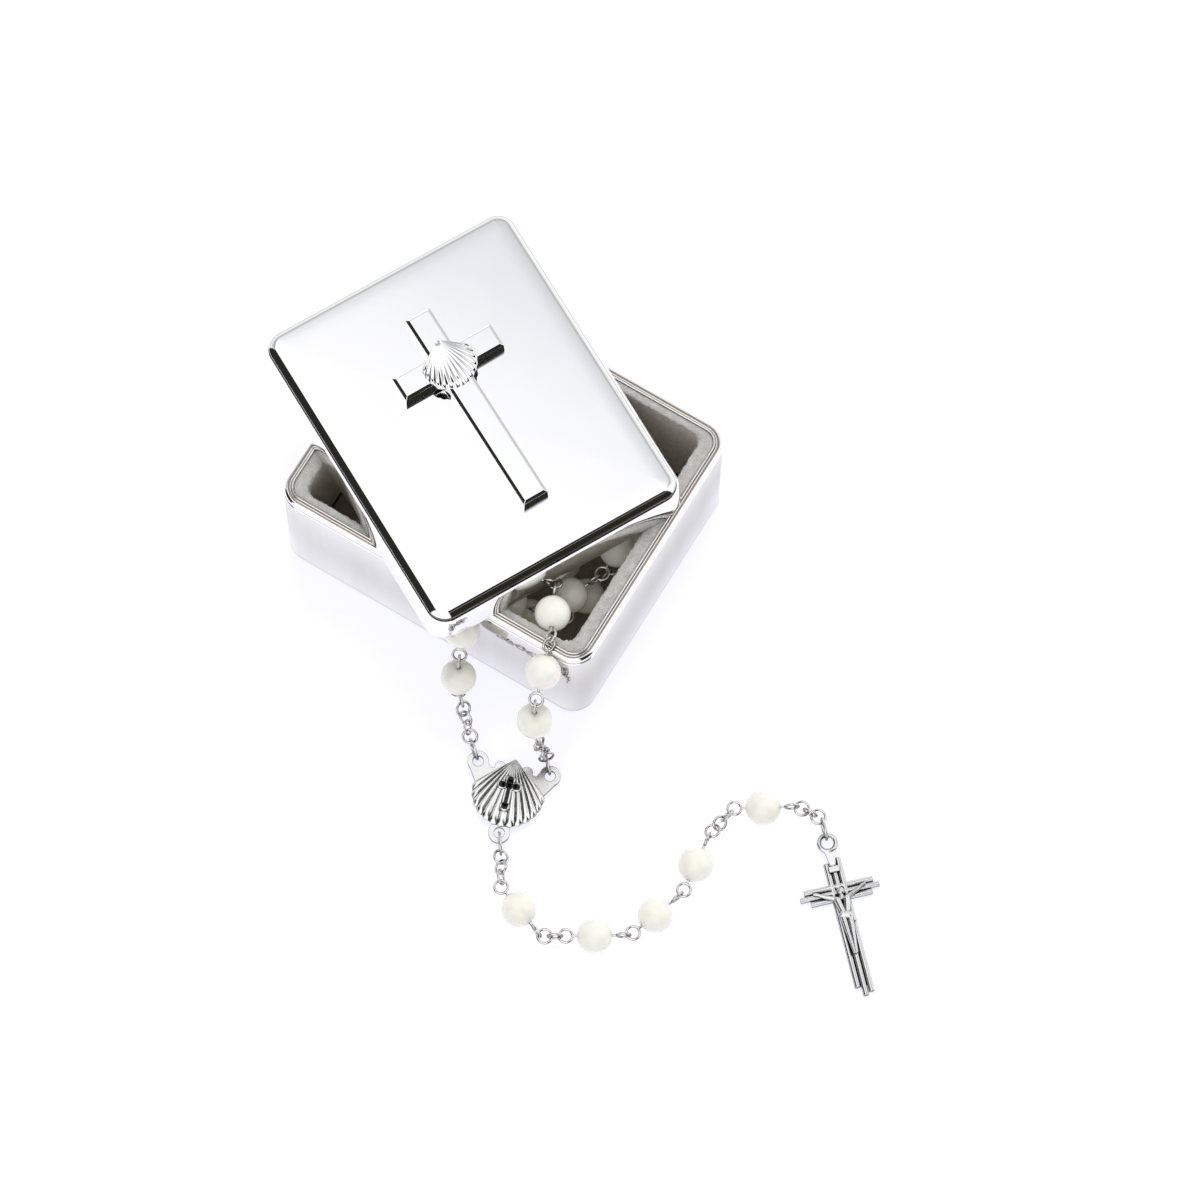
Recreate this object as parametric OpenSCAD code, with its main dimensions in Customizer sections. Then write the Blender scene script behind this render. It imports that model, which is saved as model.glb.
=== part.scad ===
// Keepsake box for a rosary, with its lift-off lid laid across the rim, and the rosary half drawn out of it.
// Millimetres. Origin at the middle of the base's underside, +Z up, +X along the base's long side.

/* [Base] */
// Length of the base over its walls
base_l = 59.4; // [52:0.2:70]
// Width of the base over its walls
base_w = 48.3; // [42:0.2:58]
// Height of the plain wall, from the underside to the foot of the rim moulding
base_h = 25.6; // [22:0.1:34]
// Outside radius of the vertical corners
corner_r = 4.1; // [3.5:0.1:8]
// Thickness of the metal wall
wall = 1.1; // [0.8:0.05:1.6]
// Thickness of the metal floor
floor_t = 1.2; // [0.8:0.05:2]
// Rounding of the bottom edge
foot_r = 0.9; // [0.3:0.05:1.2]
// Width of the rim moulding, from the outer face to the inner edge of its lip
rim_w = 1.6; // [1.3:0.05:2.2]
// Height of the rim moulding above the plain wall
rim_h = 1.7; // [1.2:0.05:2.4]
// Width of the raised lip that ends the moulding on the inside
lip_w = 0.5; // [0.3:0.05:0.8]
// Depth of the fine groove between moulding and lip
groove_d = 0.3; // [0.15:0.05:0.5]

/* [Lining] */
// Thickness of the lining along the long walls
lining_long = 1.4; // [1:0.1:2.2]
// Thickness of the lining along the short walls
lining_short = 2.4; // [1:0.1:3.2]
// How far the top of the lining lies below the lip
lining_drop = 0.3; // [0.1:0.05:1]
// Thickness of the pad on the floor
pad_t = 1.5; // [0.8:0.1:2.5]
// Gap between lining and metal
lining_gap = 0.05; // [0.02:0.01:0.2]

/* [Lid] */
// Height of the skirt, from its lower edge to the fine step
skirt_h = 6.1; // [4.5:0.1:9]
// How far the lid reaches past the walls of the base, at its lower edge
lid_over = 0.15; // [0:0.05:0.4]
// How far the skirt flares out from the step to its lower edge
skirt_flare = 0.5; // [0.3:0.05:1.2]
// Width of the fine step at the foot of the shoulder
step_w = 0.4; // [0.2:0.05:0.6]
// Width of the convex shoulder
shoulder_w = 1.2; // [0.8:0.1:2.5]
// Height of the convex shoulder
shoulder_h = 1.8; // [1.2:0.1:3]
// Thickness of the lid's metal
lid_t = 0.9; // [0.7:0.05:1.3]
// Thickness of the lining pad under the lid
lid_pad_t = 0.6; // [0.4:0.05:1.2]
// Place of the lid's middle along X
lid_x = -7.6; // [-12:0.2:0]
// Place of the lid's middle along Y
lid_y = 2.5; // [-2:0.2:6]
// Turn of the lid about the vertical
lid_turn = -28.2; // [-34:0.2:-20]

/* [Lid cross] */
// Length of the cross
cross_l = 37.8; // [30:0.2:44]
// Width across the arms
cross_w = 18.8; // [14:0.2:24]
// Width of its bars
cross_bar = 4.5; // [3:0.1:5.5]
// Height of its bars above the lid
cross_t = 2.5; // [1.6:0.1:3.2]
// How far the cross lies off the lid's middle line
cross_off = 0.9; // [-1.5:0.1:1.5]
// Small turn of the cross on the lid
cross_turn = 0.7; // [-2:0.1:2]
// Bevel along its edges
cross_bevel = 0.45; // [0.2:0.05:0.7]
// Distance from its top to the middle of the arms
cross_arm = 9.9; // [7:0.1:13]
// Width of the shell on the crossing
shell_w = 9.2; // [6:0.1:10]
// Height of the shell, from its hinge to its rim
shell_l = 8.4; // [6.5:0.1:9.5]
// Ribs of the shell
shell_ribs = 15; // [9:2:17]

// Thickness of the shell at its edge
shell_edge = 0.35; // [0.25:0.05:0.6]
// Swell of the shell above its edge
shell_rise = 0.9; // [0.4:0.05:1.2]
// Height of its ribs
shell_rib = 0.35; // [0.15:0.05:0.5]

/* [Beads and wire] */
// Diameter of a bead
bead_d = 6; // [5.4:0.1:6.2]
// Diameter of its hole
bead_hole = 0.8; // [0.6:0.05:1.2]
// Diameter of the eye-pin wire
wire = 0.45; // [0.35:0.05:0.55]
// Diameter of an eye, to the middle of its wire
eye_d = 2.24; // [2:0.04:2.4]
// Distance from the bead's face to the middle of its eye
eye_neck = 1.8; // [1.6:0.05:2]
// Diameter of a chain ring, to the middle of its wire
ring_d = 2.4; // [2.2:0.05:2.6]
// Diameter of a large ring, to the middle of its wire
big_ring_d = 3.6; // [3.2:0.1:4]
// Diameter of the large ring's wire
big_wire = 0.5; // [0.4:0.05:0.6]
// How much shorter each link is than when pulled tight
slack = 0.1; // [0.08:0.01:0.16]
// Distance between the eyes on either side of three rings
decade_gap = 6.5; // [6.4:0.1:7]
// How much closer two beads sit where the chain bends sharply
bend_slack = 0.14; // [0.08:0.02:0.2]
// Gap between neighbouring laps of the stored beads
coil_gap = 0.4; // [0.3:0.05:0.5]
// Height above the rim of the joints that hang over it
rim_clear = 1.6; // [1.5:0.1:2]

/* [Medal] */
// Width of the medal's shell
medal_w = 12; // [10:0.2:14]
// Height of the medal's shell
medal_l = 11.4; // [9.5:0.1:13]
// Thickness of the medal's plate
medal_t = 0.7; // [0.5:0.05:1]
// Height of the plate above the table
medal_lift = 0.95; // [0.8:0.05:1.2]
// Hole in each lug
lug_hole = 1.8; // [1.6:0.05:2]
// Width of its bars, and radius of the bud at each end
medal_cross_bar = 0.65; // [0.5:0.05:0.9]
medal_bud = 0.55; // [0.4:0.05:0.7]
// Raised border round the sunk cross
medal_border = 0.25; // [0.2:0.05:0.35]
// Radius of the largest wave of the ears beside the hinge
medal_ear = 1; // [0.7:0.1:1.2]
// Diameter of each lug
lug_d = 3.6; // [3.2:0.1:4]
// Ribs of the medal's shell
medal_ribs = 13; // [9:2:17]
// Thickness of the medal's shell at its edge, above the plate
medal_edge = 0.25; // [0.15:0.05:0.5]
// Swell of the medal's shell above its edge
medal_rise = 0.75; // [0.4:0.05:1.1]
// Height of the medal's ribs
medal_rib = 0.3; // [0.15:0.05:0.4]
// Length of the sunk cross on the medal
medal_cross_l = 4.8; // [4:0.1:5.6]

/* [Crucifix] */
// Length of the crucifix without its ring
crucifix_l = 24.5; // [20:0.5:30]
// Width across its arms
crucifix_w = 13.5; // [11:0.5:17]
// Diameter of each of its rods
rod_d = 1; // [0.8:0.05:1.2]
// Distance from its top to the middle of the arms
crucifix_arm = 6.3; // [5:0.1:8]
// How far the shortest outer rod stops before the end of the middle one
rod_stop = 1.6; // [0.8:0.1:2]
// Width and height of the plain title plate
title_w = 1.8; // [1.4:0.1:2.4]
title_h = 1; // [0.8:0.1:1.3]
// Height of the small figure
figure_h = 12; // [9:0.5:14]
// Length of the neck between the crucifix and its ring
neck_l = 0.9; // [0.6:0.1:1.4]
// Diameter of its hanging ring, to the middle of its wire
hanger_d = 2.8; // [2.6:0.1:3.2]
// Thickness of the hanging ring
hanger_t = 0.8; // [0.6:0.05:1]

/* [Hidden] */
$fn = 48;

silver = [0.86, 0.86, 0.87];
dark_silver = [0.62, 0.62, 0.63];
flock = [0.68, 0.66, 0.63];
pearl = [0.95, 0.94, 0.9];

// Heights and inner sizes that follow from the driving sizes
rim_top = base_h + rim_h;
pad_top = floor_t + pad_t;
inner_l = base_l - 2 * (rim_w + lining_short);
inner_w = base_w - 2 * (rim_w + lining_long);
ledge_z = rim_top - lining_drop;
seat_gap = 0.02;

// Height of the liner's foot that fills the space under the lip, and its inner corner radius
lining_foot = base_h - 2 * wall - floor_t;
inner_r = max(1, corner_r - rim_w - min(lining_long, lining_short));

// The corner turns stop short of their own axis, and a flat middle overlaps them there
core = 0.5;
lap = 0.2;
base_in = corner_r - core;
lid_in = corner_r - core;

// The lid's outline, and where its shoulder begins
lid_l = base_l + 2 * lid_over;
lid_w = base_w + 2 * lid_over;
shoulder_x = skirt_flare + step_w;
lid_top = skirt_h + shoulder_h;

// Rosary sizes that follow
bead_r = bead_d / 2;
eye_r = eye_d / 2;
arm = bead_r + eye_neck;
hanger_z = 1.3;
rod_pitch = rod_d * 1.06;
rod_z = rod_d / 2 + 0.15;
big_ring_z = (big_ring_d + big_wire) / 2 + 0.02;
lug_z = medal_lift + medal_t / 2;
lug_side = medal_w / 2 + 0.15;
lug_up = 0.38 * medal_l;
lug_down = -medal_l / 2 - 1.4;
medal_at = [26, -41.6];
medal_turn = 18.7;
medal_spread = 95;
crucifix_turn = 44.4;

// The moulding's quarter round
moulding_w = rim_w - lip_w;
moulding_z = base_h + rim_h - groove_d - moulding_w;

// Direction of a yaw and a pitch
function aim(yaw, pitch) = [cos(yaw) * cos(pitch), sin(yaw) * cos(pitch), sin(pitch)];

// Children turned from +X to a yaw and a pitch, rolled about their own line
module along(at, yaw, pitch, roll = 0)
    translate(at)
        rotate([0, 0, yaw])
            rotate([0, -pitch, 0])
                rotate([roll, 0, 0])
                    children();

module rounded_rect(l, w, r) {
    square([l - 2 * r, w], center = true);
    square([l, w - 2 * r], center = true);
    for (x = [-1, 1], y = [-1, 1])
        translate([x * (l / 2 - r), y * (w / 2 - r)])
            circle(r);
}

// Sweeps a profile round a rounded rectangle: the profile's X = 0 is the outer face, less is inside
module swept(l, w, r) {
    for (k = [0 : 3]) {
        x = (k == 0 || k == 3) ? l / 2 - r : r - l / 2;
        y = (k < 2) ? w / 2 - r : r - w / 2;
        translate([x, y])
            rotate([0, 0, 90 * k])
                rotate_extrude(angle = 90)
                    translate([r, 0])
                        children();
    }
    for (side = [0, 1]) {
        rotate([0, 0, 180 * side])
            translate([l / 2, r - w / 2])
                rotate([90, 0, 180])
                    mirror([1, 0])
                        linear_extrude(w - 2 * r)
                            children();
        rotate([0, 0, 180 * side])
            translate([l / 2 - r, w / 2])
                rotate([90, 0, 270])
                    mirror([1, 0])
                        linear_extrude(l - 2 * r)
                            children();
    }
}

// Base: wall with a rounded foot, a convex moulding, a fine groove and a raised lip
module base_profile() {
    difference() {
        union() {
            translate([-wall, foot_r])
                square([wall, base_h - foot_r]);
            translate([-base_in, 0])
                square([base_in - foot_r, floor_t]);
            translate([-foot_r, foot_r])
                circle(foot_r);
            translate([-wall, foot_r])
                square([wall / 2, floor_t]);
        }
        translate([-corner_r, floor_t])
            square([corner_r - wall, base_h]);
    }
    difference() {
        translate([-rim_w, base_h - wall])
            square([rim_w, wall + rim_h]);
        translate([-rim_w - 1, base_h - 2 * wall])
            square([rim_w + 1 - wall, 1.5 * wall]);
        difference() {
            translate([-moulding_w, moulding_z])
                square([moulding_w + 1, rim_h + 1]);
            translate([-moulding_w, moulding_z])
                circle(moulding_w);
        }
    }
}

module base_shell() {
    color(silver) {
        linear_extrude(floor_t)
            square([base_l - 2 * base_in + 2 * lap, base_w - 2 * base_in + 2 * lap], center = true);
        swept(base_l, base_w, corner_r)
            base_profile();
    }
}

// Flocked liner of the base: thin card walls whose top shows as a ledge, with a rounded inner edge
module base_lining() {
    l = base_l - 2 * (wall + lining_gap);
    w = base_w - 2 * (wall + lining_gap);
    color(flock)
        difference() {
            union() {
                translate([0, 0, floor_t + lining_gap])
                    linear_extrude(lining_foot)
                        rounded_rect(l, w, corner_r - wall - lining_gap);
                translate([0, 0, floor_t + lining_gap])
                    linear_extrude(ledge_z - floor_t - lining_gap)
                        rounded_rect(base_l - 2 * (rim_w + lining_gap), base_w - 2 * (rim_w + lining_gap),
                            corner_r - rim_w - lining_gap);
            }
            translate([0, 0, floor_t])
                linear_extrude(ledge_z)
                    rounded_rect(inner_l, inner_w, inner_r);
        }
}

// Loose pad on the floor, just clear of the liner
module base_pad()
    color(flock)
        translate([0, 0, floor_t + lining_gap])
            linear_extrude(pad_t - lining_gap)
                rounded_rect(inner_l - 4 * lining_gap, inner_w - 4 * lining_gap, inner_r - 2 * lining_gap);

// Places its children in the lid's own frame: Z = 0 at the skirt's lower edge, long side along X
module in_lid()
    translate([lid_x, lid_y, rim_top + seat_gap])
        rotate([0, 0, lid_turn])
            children();

// Lid wall: flared skirt, fine step and convex shoulder, open below
module lid_profile() {
    difference() {
        union() {
            polygon([
                [0, 0], [-skirt_flare, skirt_h - step_w], [-shoulder_x, skirt_h - step_w],
                [-shoulder_x, skirt_h], [-lid_in, skirt_h], [-lid_in, 0]
            ]);
            intersection() {
                translate([-shoulder_x, skirt_h - step_w])
                    circle(step_w);
                translate([-shoulder_x, skirt_h - step_w])
                    square(step_w);
            }
            translate([-lid_in, skirt_h - 0.01])
                square([lid_in - shoulder_x - shoulder_w, shoulder_h + 0.01]);
            translate([-shoulder_x - shoulder_w, skirt_h])
                square([shoulder_w, shoulder_h - shoulder_w]);
            intersection() {
                translate([-shoulder_x - shoulder_w, skirt_h + shoulder_h - shoulder_w])
                    circle(shoulder_w);
                translate([-shoulder_x - shoulder_w, skirt_h])
                    square([shoulder_w, shoulder_h]);
            }
        }
        polygon([
            [-lid_t, -1], [-lid_t - skirt_flare, skirt_h - lid_t / 2],
            [-shoulder_x - shoulder_w, skirt_h + shoulder_h - lid_t],
            [-corner_r - 1, skirt_h + shoulder_h - lid_t], [-corner_r - 1, -1]
        ]);
    }
}

module lid_shell()
    color(silver)
        in_lid() {
            swept(lid_l, lid_w, corner_r)
                lid_profile();
            translate([0, 0, lid_top - lid_t])
                linear_extrude(lid_t)
                    square([lid_l - 2 * lid_in + 2 * lap, lid_w - 2 * lid_in + 2 * lap], center = true);
        }

module lid_pad() {
    inset = 2 * (lid_t + skirt_flare + shoulder_w + lining_gap);
    color(flock)
        in_lid()
            translate([0, 0, lid_top - lid_t - lining_gap - lid_pad_t])
                linear_extrude(lid_pad_t)
                    rounded_rect(lid_l - inset, lid_w - inset, corner_r - inset / 2 + lid_t);
}

// Bevelled bar of the cross lying on the lid, its length along X from zero
module bevelled_bar(l, w, t, bevel) {
    linear_extrude(t - bevel)
        translate([0, -w / 2])
            square([l, w]);
    hull() {
        translate([0, -w / 2, t - bevel - 0.01])
            cube([l, w, 0.01]);
        translate([bevel, bevel - w / 2, t - 0.01])
            cube([l - 2 * bevel, w - 2 * bevel, 0.01]);
    }
}

// The cross's own place on the lid, its head towards -X
module on_lid()
    in_lid()
        translate([0, cross_off, lid_top])
            rotate([0, 0, cross_turn])
                children();
module lid_cross()
    color(silver)
        on_lid() {
            translate([-cross_l / 2, 0, 0])
                bevelled_bar(cross_l, cross_bar, cross_t, cross_bevel);
            translate([cross_arm - cross_l / 2, -cross_w / 2, 0])
                rotate([0, 0, 90])
                    bevelled_bar(cross_w, cross_bar, cross_t, cross_bevel);
        }

// Ribbed scallop shell as one closed fan: hinge at +Y, rim at -Y, flat underneath.
// Each spoke runs from the hinge to the rim in steps, and its height swells and ripples with the ribs.
// The rim turns by the spread to each side of the middle rib.
function fan_rim(u, w, l, ribs, spread) =
    let (phi = spread * u - 90, ripple = 1 + 0.03 * abs(cos(90 * ribs * u)))
        [w / 2 * ripple * cos(phi), 0.52 * l * ripple * sin(phi)];
function fan_height(u, v, ribs, t, rise, rib) =
    t + rise * sin(180 * pow(1 - v, 1.25))
        + rib * abs(cos(90 * ribs * u)) * min(1, 2.2 * v) * min(1, 6 * (1 - v) + 0.35);
function fan_point(u, v, w, l, ribs, spread, t, rise, rib) =
    let (rim = fan_rim(u, w, l, ribs, spread), bow = 0.16 * w * u * v * (1 - v) * (1 - abs(u)))
        [rim.x * v + bow, l / 2 * (1 - v) + rim.y * v, fan_height(u, v, ribs, t, rise, rib)];
module scallop(w, l, ribs, spread, t, rise, rib, per_rib = 4, rings = 7) {
    spokes = ribs * per_rib;
    top = [for (i = [0 : spokes], j = [1 : rings])
        fan_point(2 * i / spokes - 1, j / rings, w, l, ribs, spread, t, rise, rib)];
    under = [for (i = [0 : spokes]) let (p = fan_rim(2 * i / spokes - 1, w, l, ribs, spread)) [p.x, p.y, 0]];
    hinge = fan_point(0, 0, w, l, ribs, spread, t, rise, rib);
    hinge_i = len(top) + len(under);
    last = spokes * rings;
    base = len(top);
    faces = concat(
        [for (i = [0 : spokes - 1]) [hinge_i, (i + 1) * rings, i * rings]],
        [for (i = [0 : spokes - 1], j = [0 : rings - 2], k = [0, 1])
            k == 0 ? [i * rings + j, (i + 1) * rings + j, i * rings + j + 1]
                : [(i + 1) * rings + j, (i + 1) * rings + j + 1, i * rings + j + 1]],
        [for (i = [0 : spokes - 1], k = [0, 1])
            k == 0 ? [i * rings + rings - 1, (i + 1) * rings + rings - 1, base + i]
                : [(i + 1) * rings + rings - 1, base + i + 1, base + i]],
        [for (i = [0 : spokes - 1]) [hinge_i + 1, base + i, base + i + 1]],
        [[for (j = [0 : rings - 1]) j, base, hinge_i + 1, hinge_i]],
        [[hinge_i, hinge_i + 1, base + spokes, for (j = [rings - 1 : -1 : 0]) last + j]]
    );
    polyhedron(concat(top, under, [hinge, [hinge.x, hinge.y, 0]]), faces);
}

module lid_scallop()
    color(silver)
        on_lid()
            translate([cross_arm - cross_l / 2 + 0.05 * shell_l, 0, cross_t])
                rotate([0, 0, 90])
                    scallop(shell_w, shell_l, shell_ribs, 107, shell_edge, shell_rise, shell_rib);

// One bead, its hole along X: a half disc outside the hole, turned about the hole's line
module bead()
    color(pearl)
        rotate([0, 90, 0])
            rotate_extrude()
                difference() {
                    circle(bead_r);
                    translate([-bead_d, -bead_d])
                        square([bead_d + bead_hole / 2, 2 * bead_d]);
                }

// One eye at the end of a pin, about the origin: the wire is bent round until it meets its own neck at -X
module eye()
    rotate_extrude()
        translate([eye_r, 0])
            circle(d = wire);

// Straight wire through a bead, with an eye at each end, along X; each eye has its own roll
module eye_pin(rear_roll, front_roll)
    color(silver) {
        rotate([0, 90, 0])
            cylinder(d = wire, h = 2 * (arm - eye_r), center = true);
        translate([arm, 0, 0])
            rotate([front_roll, 0, 0])
                eye();
        mirror([1, 0, 0])
            translate([arm, 0, 0])
                rotate([rear_roll, 0, 0])
                    eye();
    }

// Chain rings lie in their own XY plane
module round_ring(d, gauge)
    color(silver)
        rotate_extrude()
            translate([d / 2, 0])
                circle(d = gauge);

// Radius and gauge of each kind of link, and the distance between two linked ones
function radius(kind) =
    kind == "bead" ? eye_r
        : kind == "ring" ? ring_d / 2
        : kind == "big" ? big_ring_d / 2 : hanger_d / 2;
function gauge(kind) = kind == "big" ? big_wire : kind == "hanger" ? hanger_t : wire;
function link(a, b) = radius(a) + radius(b) - (gauge(a) + gauge(b)) / 2 - slack;

// A link of a chain is [kind, middle, yaw, pitch, roll, middle of its front eye, roll of its front eye].
// A rear eye lies flat, a front eye stands upright, and an upright one is turned about its tip.
function kind(e) = e[0];
function middle(e) = e[1];
function facing(e) = aim(e[2], e[3]);
function front(e) = e[5];
function pivot_reach(e) = abs(sin(e[6])) * radius(kind(e));
function pivot(e) = front(e) + pivot_reach(e) * facing(e);
function bead_link(at, yaw, pitch, rear_roll = 0, front_roll = 90) =
    ["bead", at, yaw, pitch, rear_roll, at + arm * aim(yaw, pitch), front_roll];
function ring_link(what, at, yaw, pitch, roll) = [what, at, yaw, pitch, roll, at, roll];

module draw_bead(e)
    along(middle(e), e[2], e[3])
        bead();
module draw_pin(e)
    along(middle(e), e[2], e[3])
        eye_pin(e[4], e[6]);
module draw_ring(e)
    along(middle(e), e[2], e[3], e[4])
        round_ring(2 * radius(kind(e)), gauge(kind(e)));

// Where a point of the medal's own frame lies on the table
function on_medal(p) =
    [medal_at.x, medal_at.y, lug_z]
        + [p.x * cos(medal_turn) - p.y * sin(medal_turn), p.x * sin(medal_turn) + p.y * cos(medal_turn), 0];

// The large ring that hangs in a lug: it passes through the hole and round the lug's outer web
function lug_ring(hole, yaw) =
    let (
        rise = big_ring_z - lug_z,
        reach = sqrt(pow(big_ring_d / 2, 2) - rise * rise) + lug_hole / 2 - big_wire / 2 - 2 * slack
    )
        ring_link("big", hole + [reach * cos(yaw), reach * sin(yaw), rise], yaw, 0, 90);

// Across a link's own plane, and the point of a round wire that looks towards another point
function across(yaw, pitch, roll) =
    let (x = -cos(roll) * sin(pitch), y = -sin(roll))
        [x * cos(yaw) - y * sin(yaw), x * sin(yaw) + y * cos(yaw), cos(roll) * cos(pitch)];
function catch(at, r, n, toward) =
    let (d = toward - at, in_plane = d - (d * n) * n)
        at + r * in_plane / norm(in_plane);

// Rings strung evenly between two wires, each wire given as [middle, radius, across],
// and turned in even steps
function run(a, b, from_roll, sweep) =
    let (
        p = catch(a[0], a[1], a[2], b[0]),
        q = catch(b[0], b[1], b[2], p),
        ends = ring_d / 2 - wire - slack,
        span = norm(q - p) - 2 * ends,
        n = ceil(span / (ring_d - wire - slack)) + 1,
        d = (q - p) / norm(q - p),
        turn = (sweep + 180 * floor(n / 2)) / (n + 1)
    )
        [for (k = [0 : n - 1])
            ring_link("ring", p + (ends + span * k / max(1, n - 1)) * d, atan2(d.y, d.x), asin(d.z),
                from_roll + turn * (k + 1))];
function front_wire(e) = [front(e), radius(kind(e)), across(e[2], e[3], e[6])];
function rear_wire(e) =
    [kind(e) == "bead" ? middle(e) - arm * facing(e) : middle(e), radius(kind(e)), across(e[2], e[3], e[4])];

// A bead linked straight to the one before it
first_reach = link("bead", "bead") - eye_r + arm;
function next_bead(e, yaw, pitch) = bead_link(pivot(e) + first_reach * aim(yaw, pitch), yaw, pitch);

// The pendant, from the medal's lower lug to the crucifix
pendant_big = lug_ring(on_medal([0, lug_down]), -54);
pendant_1 = bead_link([38.2, -58.3, bead_r], -21, 0);
pendant_2 = bead_link([51.3, -55.7, bead_r], 32, 0);
pendant_3 = next_bead(pendant_2, 71, 0);
pendant_4 = next_bead(pendant_3, 97, 0);
pendant_5 = bead_link([63.9, -22.2, bead_r], 33, 0);
crucifix_end = [74.4, -19.9, big_ring_z];
crucifix_big = ring_link("big", crucifix_end, crucifix_turn - 90, 0, 90);
pendant_rings = [
    concat([pendant_big], run(front_wire(pendant_big), rear_wire(pendant_1), 90, 90)),
    run(front_wire(pendant_1), rear_wire(pendant_2), 90, 90),
    run(front_wire(pendant_4), rear_wire(pendant_5), 90, 90),
    concat([crucifix_big], run(front_wire(pendant_5), rear_wire(crucifix_big), 90, 180))
];

// The crucifix's hanging ring round the last large ring
hanger_drop = big_ring_z - hanger_z;
hanger_reach =
    sqrt(pow(big_ring_d / 2, 2) - pow(hanger_drop, 2)) + (hanger_d - hanger_t - big_wire) / 2 - slack;
hanger_at = [crucifix_end.x, crucifix_end.y, 0] + hanger_reach * aim(crucifix_turn - 90, 0);

// A strand over the rim: its joint above the rim, then yaw and pitch of the beads
// below, beside and inside it
function strand(joint, below, beside, inside) =
    let (
        half = (link("bead", "bead") - bend_slack) / 2,
        bead_2 = joint - (half + arm) * aim(beside[0], beside[1]),
        rear_2 = bead_2 - (arm + eye_r) * aim(beside[0], beside[1]),
        bead_1 = rear_2 - (2 * half - eye_r + arm) * aim(below[0], below[1]),
        bead_3 = joint + (half + arm) * aim(inside[0], inside[1])
    )
        [
            bead_link(bead_1, below[0], below[1]),
            bead_link(bead_2, beside[0], beside[1], 0, 45),
            bead_link(bead_3, inside[0], inside[1], -45, 90)
        ];

function strand_rings(s, big) =
    let (d = front(s[0]) - middle(big))
        run(front_wire(big), rear_wire(s[0]), big[2] - 90 - atan2(d.y, d.x), s[0][2] - big[2] + 90);

right_joint = [22.8, 1.4 - base_w / 2, rim_top + rim_clear];
left_joint = [7.4, -0.15 - base_w / 2, rim_top + rim_clear - 0.6];
right_strand = strand(right_joint, [118, 80], [106, 32], [117, -20]);
left_strand = strand(left_joint, [115, 76], [112, 52], [97, 8]);
right_big = lug_ring(on_medal([lug_side, lug_up]), 132);
left_big = lug_ring(on_medal([-lug_side, lug_up]), 142);
right_rings = concat([right_big], strand_rings(right_strand, right_big));
left_rings = concat([left_big], strand_rings(left_strand, left_big));

// The rest of the loop lies coiled in the box: down in an inner coil, then up in an outer one.
// A track is [half length, half width, corner radius]; each joint of the chain lies on it.
coil_floor = pad_top + bead_r + coil_gap;
coil_lap = bead_d + coil_gap;
outer_track = [inner_l / 2 - bead_r - coil_gap, inner_w / 2 - bead_r - coil_gap, 12];
inner_track = [outer_track[0] - coil_lap, outer_track[1] - coil_lap, outer_track[1] - coil_lap];
function off_track(p, t) =
    let (x = abs(p.x) - t[0] + t[2], y = abs(p.y) - t[1] + t[2])
        norm([max(x, 0), max(y, 0)]) + min(max(x, y), 0) - t[2];
function is_large(i) = i == 11 || i == 22 || i == 33 || i == 44;
function is_gap(i) = is_large(i) || is_large(i - 1);
function coil_reach(i) = (is_gap(i) ? decade_gap : link("bead", "bead")) - eye_r;

// Height of the coil at an angle round the box that keeps counting up lap after lap
outer_from = 720;
climb = 110;
function coil_z(angle) =
    angle < outer_from
        ? coil_floor + coil_lap * min(2, (outer_from - angle) / 360)
        : let (v = angle - outer_from + climb, k = floor(v / 360))
            coil_floor + coil_lap * (k > 0 ? k - 1 + min(1, (v - 360 * k) / climb) : 0);
function round_angle(p, yaw) = let (a = atan2(p.y, p.x)) a + 360 * round((yaw - 90 - a) / 360);
function coil_pitch(e, l, yaw) =
    let (z = coil_z(round_angle(pivot(e) + l * aim(yaw, 0), yaw)))
        asin(max(-0.9, min(0.9, (z - pivot(e).z) / l)));

// The yaw that puts a bead's front joint on the track, found by halving
function coil_yaw(e, l, t, low, high, n) =
    n == 0 ? (low + high) / 2
        : let (mid = (low + high) / 2, at = pivot(e) + l * aim(mid, coil_pitch(e, l, mid)))
            off_track(at, t) > 0 ? coil_yaw(e, l, t, mid, high, n - 1) : coil_yaw(e, l, t, low, mid, n - 1);
function coil_step(e, i) =
    let (
        l = coil_reach(i) + 2 * arm + eye_r,
        t = round_angle(pivot(e), e[2]) < outer_from - 20 ? inner_track : outer_track,
        yaw = coil_yaw(e, l, t, e[2] - 80, e[2] + 110, 22),
        pitch = coil_pitch(e, l, yaw)
    )
        bead_link(pivot(e) + (coil_reach(i) + arm) * aim(yaw, pitch), yaw, pitch);
function coil(e, i, last) = i > last ? [] : let (n = coil_step(e, i)) concat([n], coil(n, i + 1, last));

// The first bead inside hangs from the right strand, and the last two rise to the left strand's inner eye
first_in = next_bead(right_strand[2], 125, -25);
coiled = concat([first_in], coil(first_in, 5, 49));
rise_from = pivot(coiled[len(coiled) - 1]);
rise_to = pivot(left_strand[2]);
rise_reach = first_reach - bend_slack;
rise_a = rise_reach + arm + eye_r;
rise_b = 2 * rise_reach;
rise_gap = norm(rise_to - rise_from);
rise_along = (rise_a * rise_a - rise_b * rise_b + rise_gap * rise_gap) / (2 * rise_gap);
rise_side = sqrt(rise_a * rise_a - rise_along * rise_along);
rise_dir = (rise_to - rise_from) / rise_gap;
rise_across = [-rise_dir.y, rise_dir.x, 0] / norm([rise_dir.x, rise_dir.y]);
rise_mid = rise_from + rise_along * rise_dir + rise_side * rise_across;
function bead_on_line(p, q, from_p, front_roll) =
    let (d = (q - p) / norm(q - p))
        bead_link(p + from_p * d, atan2(d.y, d.x), asin(d.z), 0, front_roll);
rising = [
    bead_on_line(rise_from, rise_mid, rise_reach, 90),
    bead_on_line(rise_mid, rise_to, rise_reach, 0)
];

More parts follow.
